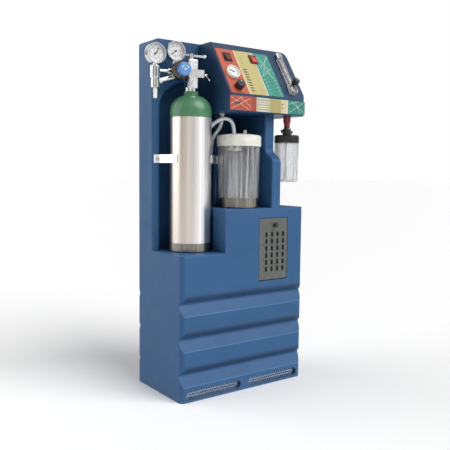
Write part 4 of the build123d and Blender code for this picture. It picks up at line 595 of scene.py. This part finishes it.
def panel_marks():
    """Marks on the sloped panel: fine crossing lines, label bars and an abstract column."""
    marks = Print("panel_marks", "station", "panel_print", on_slope(0, 0, PANEL_T + FILM_PRINT_GAP))
    for a, b in (((-52, 60), (4, 36)), ((-52, 98), (3, 48)), ((-20, 4), (4, 60)),
                 ((-50, 12), (-6, 48)), ((-52, 144), (4, 96))):
        marks.line(a, b, 0.5, "rust", 0.0)
    for x, s, length in ((-23, 101.5, 11), (-25, 4.8, 20), (-27, 44, 14), (66, 104, 10)):
        marks.line((x - length / 2, s), (x + length / 2, s), 1.3, "dark")
    for a, b in (((74, 146), (124, 78)), ((74, 92), (124, 142)), ((74, 118), (122, 58)),
                 ((86, 146), (112, 64)), ((120, 146), (80, 70)), ((74, 66), (124, 104))):
        marks.line(a, b, 0.45, "white", 0.0)
    for row in range(5):
        s = 58 - row * 11.5
        marks.line((92, s), (92 + 14 + 5 * (row % 2), s), 1.5, "dark")
        marks.line((78, s), (86, s), 0.5, "white")
        marks.disc(118, s, 1.3, "white", 0.05, 20)
        marks.disc(118, s, 0.8, "red", 0.08, 20)
    abstract_column(marks)
    for s in range(5):
        marks.line((46, 6 + 4 * s), (62, 6 + 4 * s), 0.6, "grey")
    return marks.finish()


def abstract_column(marks):
    """Column of plain, evenly spaced dark bars up the left side of the middle panel."""
    for index in range(9):
        s = 14 + index * 9.0
        marks.line((15.5, s), (28.5, s), 3.6, "dark")
    for index in range(4):
        s = 106 + index * 7.0
        marks.line((18.5, s), (25.5, s), 1.0, "dark")


def lip_marks():
    """Marks on the front lip: fine lines, a grey table and small symbols."""
    marks = Print("lip_marks", "station", "panel_print",
                  on_front(0, FRONT - LIP_FACE - FILM_PRINT_GAP, LIP_MIDDLE_Z))
    for a, b in (((-56, -16), (6, 14)), ((-58, 14), (4, -17)), ((-30, 17), (8, -8)),
                 ((-58, -4), (-20, 17))):
        marks.line(a, b, 0.5, "white", 0.0)
    marks.line((-48, 0), (-28, 0), 3.2, "dark")
    marks.line((-45, -3.2), (-33, -3.2), 0.8, "dark")
    for row in range(5):
        z = 12 - row * 6.2
        marks.line((29, z), (71, z), 1.5 if row % 2 else 2.4, "grey")
        marks.line((36, z - 2.6), (60, z - 2.6), 0.6, "white")
    for x, z in ((118, 5), (118, -5)):
        marks.line((x - 4.5, z + 1.2), (x + 4.5, z + 1.2), 1.8, "dark")
        marks.disc(x, z - 2.2, 1.0, "red", 0.05, 20)
    for a, b in (((142, -15), (198, 16)), ((140, 8), (176, 17)), ((184, -16), (164, 17)),
                 ((150, 16), (198, -12))):
        marks.line(a, b, 0.5, "white", 0.0)
    marks.disc(184, 1, 2.4, "dark", 0.06, 24)
    return marks.finish()


def flow_scale():
    """Scale printed on both sides of the flowmeter's bore."""
    scale = Print("flow_scale", "station", "panel_print", on_slope(FLOW_X, 0, FLOW_H + PRINT_GAP))
    for index in range(26):
        s = 56 + index * 2.9
        reach = 1.6 if index % 5 else 2.8
        scale.line((-3.8, s), (-3.8 + reach, s), 0.35, "white")
        scale.line((3.8 - reach * 0.6, s), (3.8, s), 0.35, "white")
        if index % 5 == 0:
            scale.number(str(2 * index // 5), 1.4, s + 1.2, 2.4, "white")
    return scale.finish()


def knob_pointers():
    """Marks on the knobs' faces, on their own bodies: pointer lines, and arcs and a cross."""
    vacuum = Print("vacuum_knob_mark", "vacuum_knob", "black_plastic",
                   on_slope(VACUUM_X, VACUUM_S, PANEL_T + VACUUM_KNOB_H + PRINT_GAP))
    vacuum.line((0, 3.0), (0, 9.0), 1.4, "white")
    vacuum.finish()
    flow = Print("flow_knob_mark", "flow_knob", "black_plastic",
                 on_slope(FLOW_X, FLOW_KNOB_S, FLOW_KNOB_H + PRINT_GAP))
    flow.line((0, 1.5), (0, 6.4), 1.1, "white")
    flow.rings(0, 0, 2.2, 1.6, 0, 360, "green")
    flow.finish()
    regulator = Print("regulator_knob_mark", "regulator_knob", "blue_plastic",
                      on_regulator(REG_KNOB_X, REG_KNOB_Y - FILM_PRINT_GAP, KNOB_Z))
    for turn in (-50, 50):
        regulator.rings(0, 0, 9.6, 8.4, turn - 32, turn + 32, "white")
    regulator.line((-4, 0), (4, 0), 1.4, "white")
    regulator.line((0, -4), (0, 4), 1.4, "white")
    regulator.finish()


def round_scale(name, body, slot, x, y, radius_at, facing, heights, major):
    """Graduations printed around an upright clear wall."""
    scale = Print(name, body, slot, Matrix.Scale(MM, 4))
    for index, z in enumerate(heights):
        reach = radians(11.0 if index % major == 0 else 6.0)
        half = 0.35 if index % major == 0 else 0.22
        steps = 6
        for step in range(steps):
            first = len(scale.points)
            for turn, level in ((step, z - half), (step + 1, z - half), (step + 1, z + half),
                                (step, z + half)):
                angle = radians(facing) + reach * turn / steps
                radius = radius_at(level) + 0.06
                across, deep = radius * cos(angle), radius * sin(angle)
                scale.points.append(Vector((x + across, y + deep, level)))
            scale.faces.append(tuple(range(first, first + 4)))
            scale.inks.append(INK_NAMES.index("grey"))
    return scale.finish()


def tapered(z, low, low_radius, high, high_radius):
    """Radius at a height of a wall that tapers evenly."""
    return low_radius + (high_radius - low_radius) * (z - low) / (high - low)


def jar_radius(z):
    """Outside of the tapered jar at a height."""
    return tapered(z, *JAR_WALL)


def bottle_radius(z):
    """Outside of the humidifier bottle at a height."""
    return tapered(z, *BOTTLE_WALL)


# ---------------------------------------------------------------- suction hose
def suction_hose():
    """Hose from the jar's port, behind the cylinder and up to the port under the console."""
    curve = bpy.data.curves.new("suction_hose_line", "CURVE")
    curve.dimensions = "3D"
    spline = curve.splines.new("NURBS")
    spline.points.add(len(HOSE_ROUTE) - 1)
    for point, (x, y, z) in zip(spline.points, HOSE_ROUTE):
        point.co = (x * MM, y * MM, z * MM, 1.0)
    spline.order_u = 3
    spline.use_endpoint_u = True
    curve.bevel_depth = HOSE_R * MM
    curve.bevel_resolution = 7
    curve.resolution_u = 12
    curve.materials.append(hose_finish.material)
    hose = bpy.data.objects.new("suction_hose_line", curve)
    bpy.context.scene.collection.objects.link(hose)
    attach(hose, "station")
    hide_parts("suction_hose")


# ---------------------------------------------------------------- floor, light and surroundings
FILL = 0.29                            # brightness of the surroundings as fill light
SOFT_BOXES, BOX_TURN = 5.0, 0.6        # how many around the horizon, and the first one's turn
BOX_SWING, BOX_LEVEL = 0.42, 0.62      # their brightness in reflections: swing, and middle


def add_floor():
    """Plain pale floor."""
    bpy.ops.mesh.primitive_plane_add(size=60, location=(0, 0, -0.0002))
    floor = bpy.context.object
    floor.name = "floor"
    f = Finish("floor_paint", srgb(244, 244, 244), rough=0.6)
    f.bump(f.noise(300, 2), 0.03)
    floor.data.materials.append(f.material)


def add_soft_sun(name, azimuth, elevation, strength, softness):
    """Even light from a large far-off soft box. Azimuth 0 is the front, 90 the right."""
    data = bpy.data.lights.new(name, "SUN")
    data.energy, data.angle = strength, radians(softness)
    lamp = bpy.data.objects.new(name, data)
    turn, lift = radians(azimuth), radians(elevation)
    source = Vector((sin(turn) * cos(lift), -cos(turn) * cos(lift), sin(lift)))
    lamp.rotation_mode = "QUATERNION"
    lamp.rotation_quaternion = source.to_track_quat("Z", "Y")
    bpy.context.scene.collection.objects.link(lamp)


def add_surroundings():
    """White studio: even to the eye, dim as fill, with soft boxes and dark gaps in reflections."""
    world = bpy.data.worlds.new("studio")
    bpy.context.scene.world = world
    world.use_nodes = True
    tree = world.node_tree

    def maths(operation, *values):
        """One sum, product or other operation on values or sockets."""
        made = tree.nodes.new("ShaderNodeMath")
        made.operation = operation
        for index, value in enumerate(values):
            if isinstance(value, bpy.types.NodeSocket):
                tree.links.new(value, made.inputs[index])
            else:
                made.inputs[index].default_value = value
        return made.outputs[0]

    way = tree.nodes.new("ShaderNodeSeparateXYZ")
    tree.links.new(tree.nodes.new("ShaderNodeTexCoord").outputs["Generated"], way.inputs[0])
    heading = maths("ARCTAN2", way.outputs["Y"], way.outputs["X"])
    boxes = maths("SINE", maths("MULTIPLY_ADD", heading, SOFT_BOXES, BOX_TURN))
    gaps = maths("MULTIPLY_ADD", boxes, BOX_SWING, BOX_LEVEL)
    path = tree.nodes.new("ShaderNodeLightPath")
    seen = maths("MAXIMUM", path.outputs["Is Camera Ray"], path.outputs["Is Transmission Ray"])
    other = maths("ADD", maths("MULTIPLY", path.outputs["Is Glossy Ray"], gaps),
                  maths("MULTIPLY", path.outputs["Is Diffuse Ray"], FILL))
    tree.links.new(maths("MAXIMUM", seen, other), tree.nodes["Background"].inputs["Strength"])
    tree.nodes["Background"].inputs["Color"].default_value = (1, 1, 1, 1)


def add_lights():
    """Key from the front right and above, and a wide soft box behind the left side."""
    add_soft_sun("key", azimuth=24, elevation=42, strength=3.0, softness=50)
    add_soft_sun("left_back", azimuth=-128, elevation=22, strength=1.75, softness=66)
    bpy.context.scene.view_settings.view_transform = "Standard"


add_camera()
suction_hose()
add_floor()
add_surroundings()
add_lights()
dress_nodes()
gauge_dial("vacuum_dial", "white_plastic", on_slope(-27, 68, PANEL_T + VACUUM_DIAL_H), 17.5, 30,
           ((-135, -45, "green"), (60, 135, "red")))
gauge_dial("tank_dial", "chrome", on_regulator(-102, REG_DIAL_Y, 893), 23.9, 3000,
           ((-135, -90, "red"), (-90, 60, "green")))
gauge_dial("line_dial", "chrome", on_regulator(-46.5, REG_DIAL_Y, 903), 23.0, 100,
           ((-60, 20, "green"), (60, 135, "red")))
panel_marks()
lip_marks()
flow_scale()
knob_pointers()
round_scale("jar_scale", "station", "clear_plastic", JAR_X, JAR_Y, jar_radius, 205,
            [530 + 5 * i for i in range(25)], 5)
round_scale("bottle_scale", "bottle", "clear_plastic", BOTTLE_X, BOTTLE_Y, bottle_radius, 255,
            (592, 650), 1)
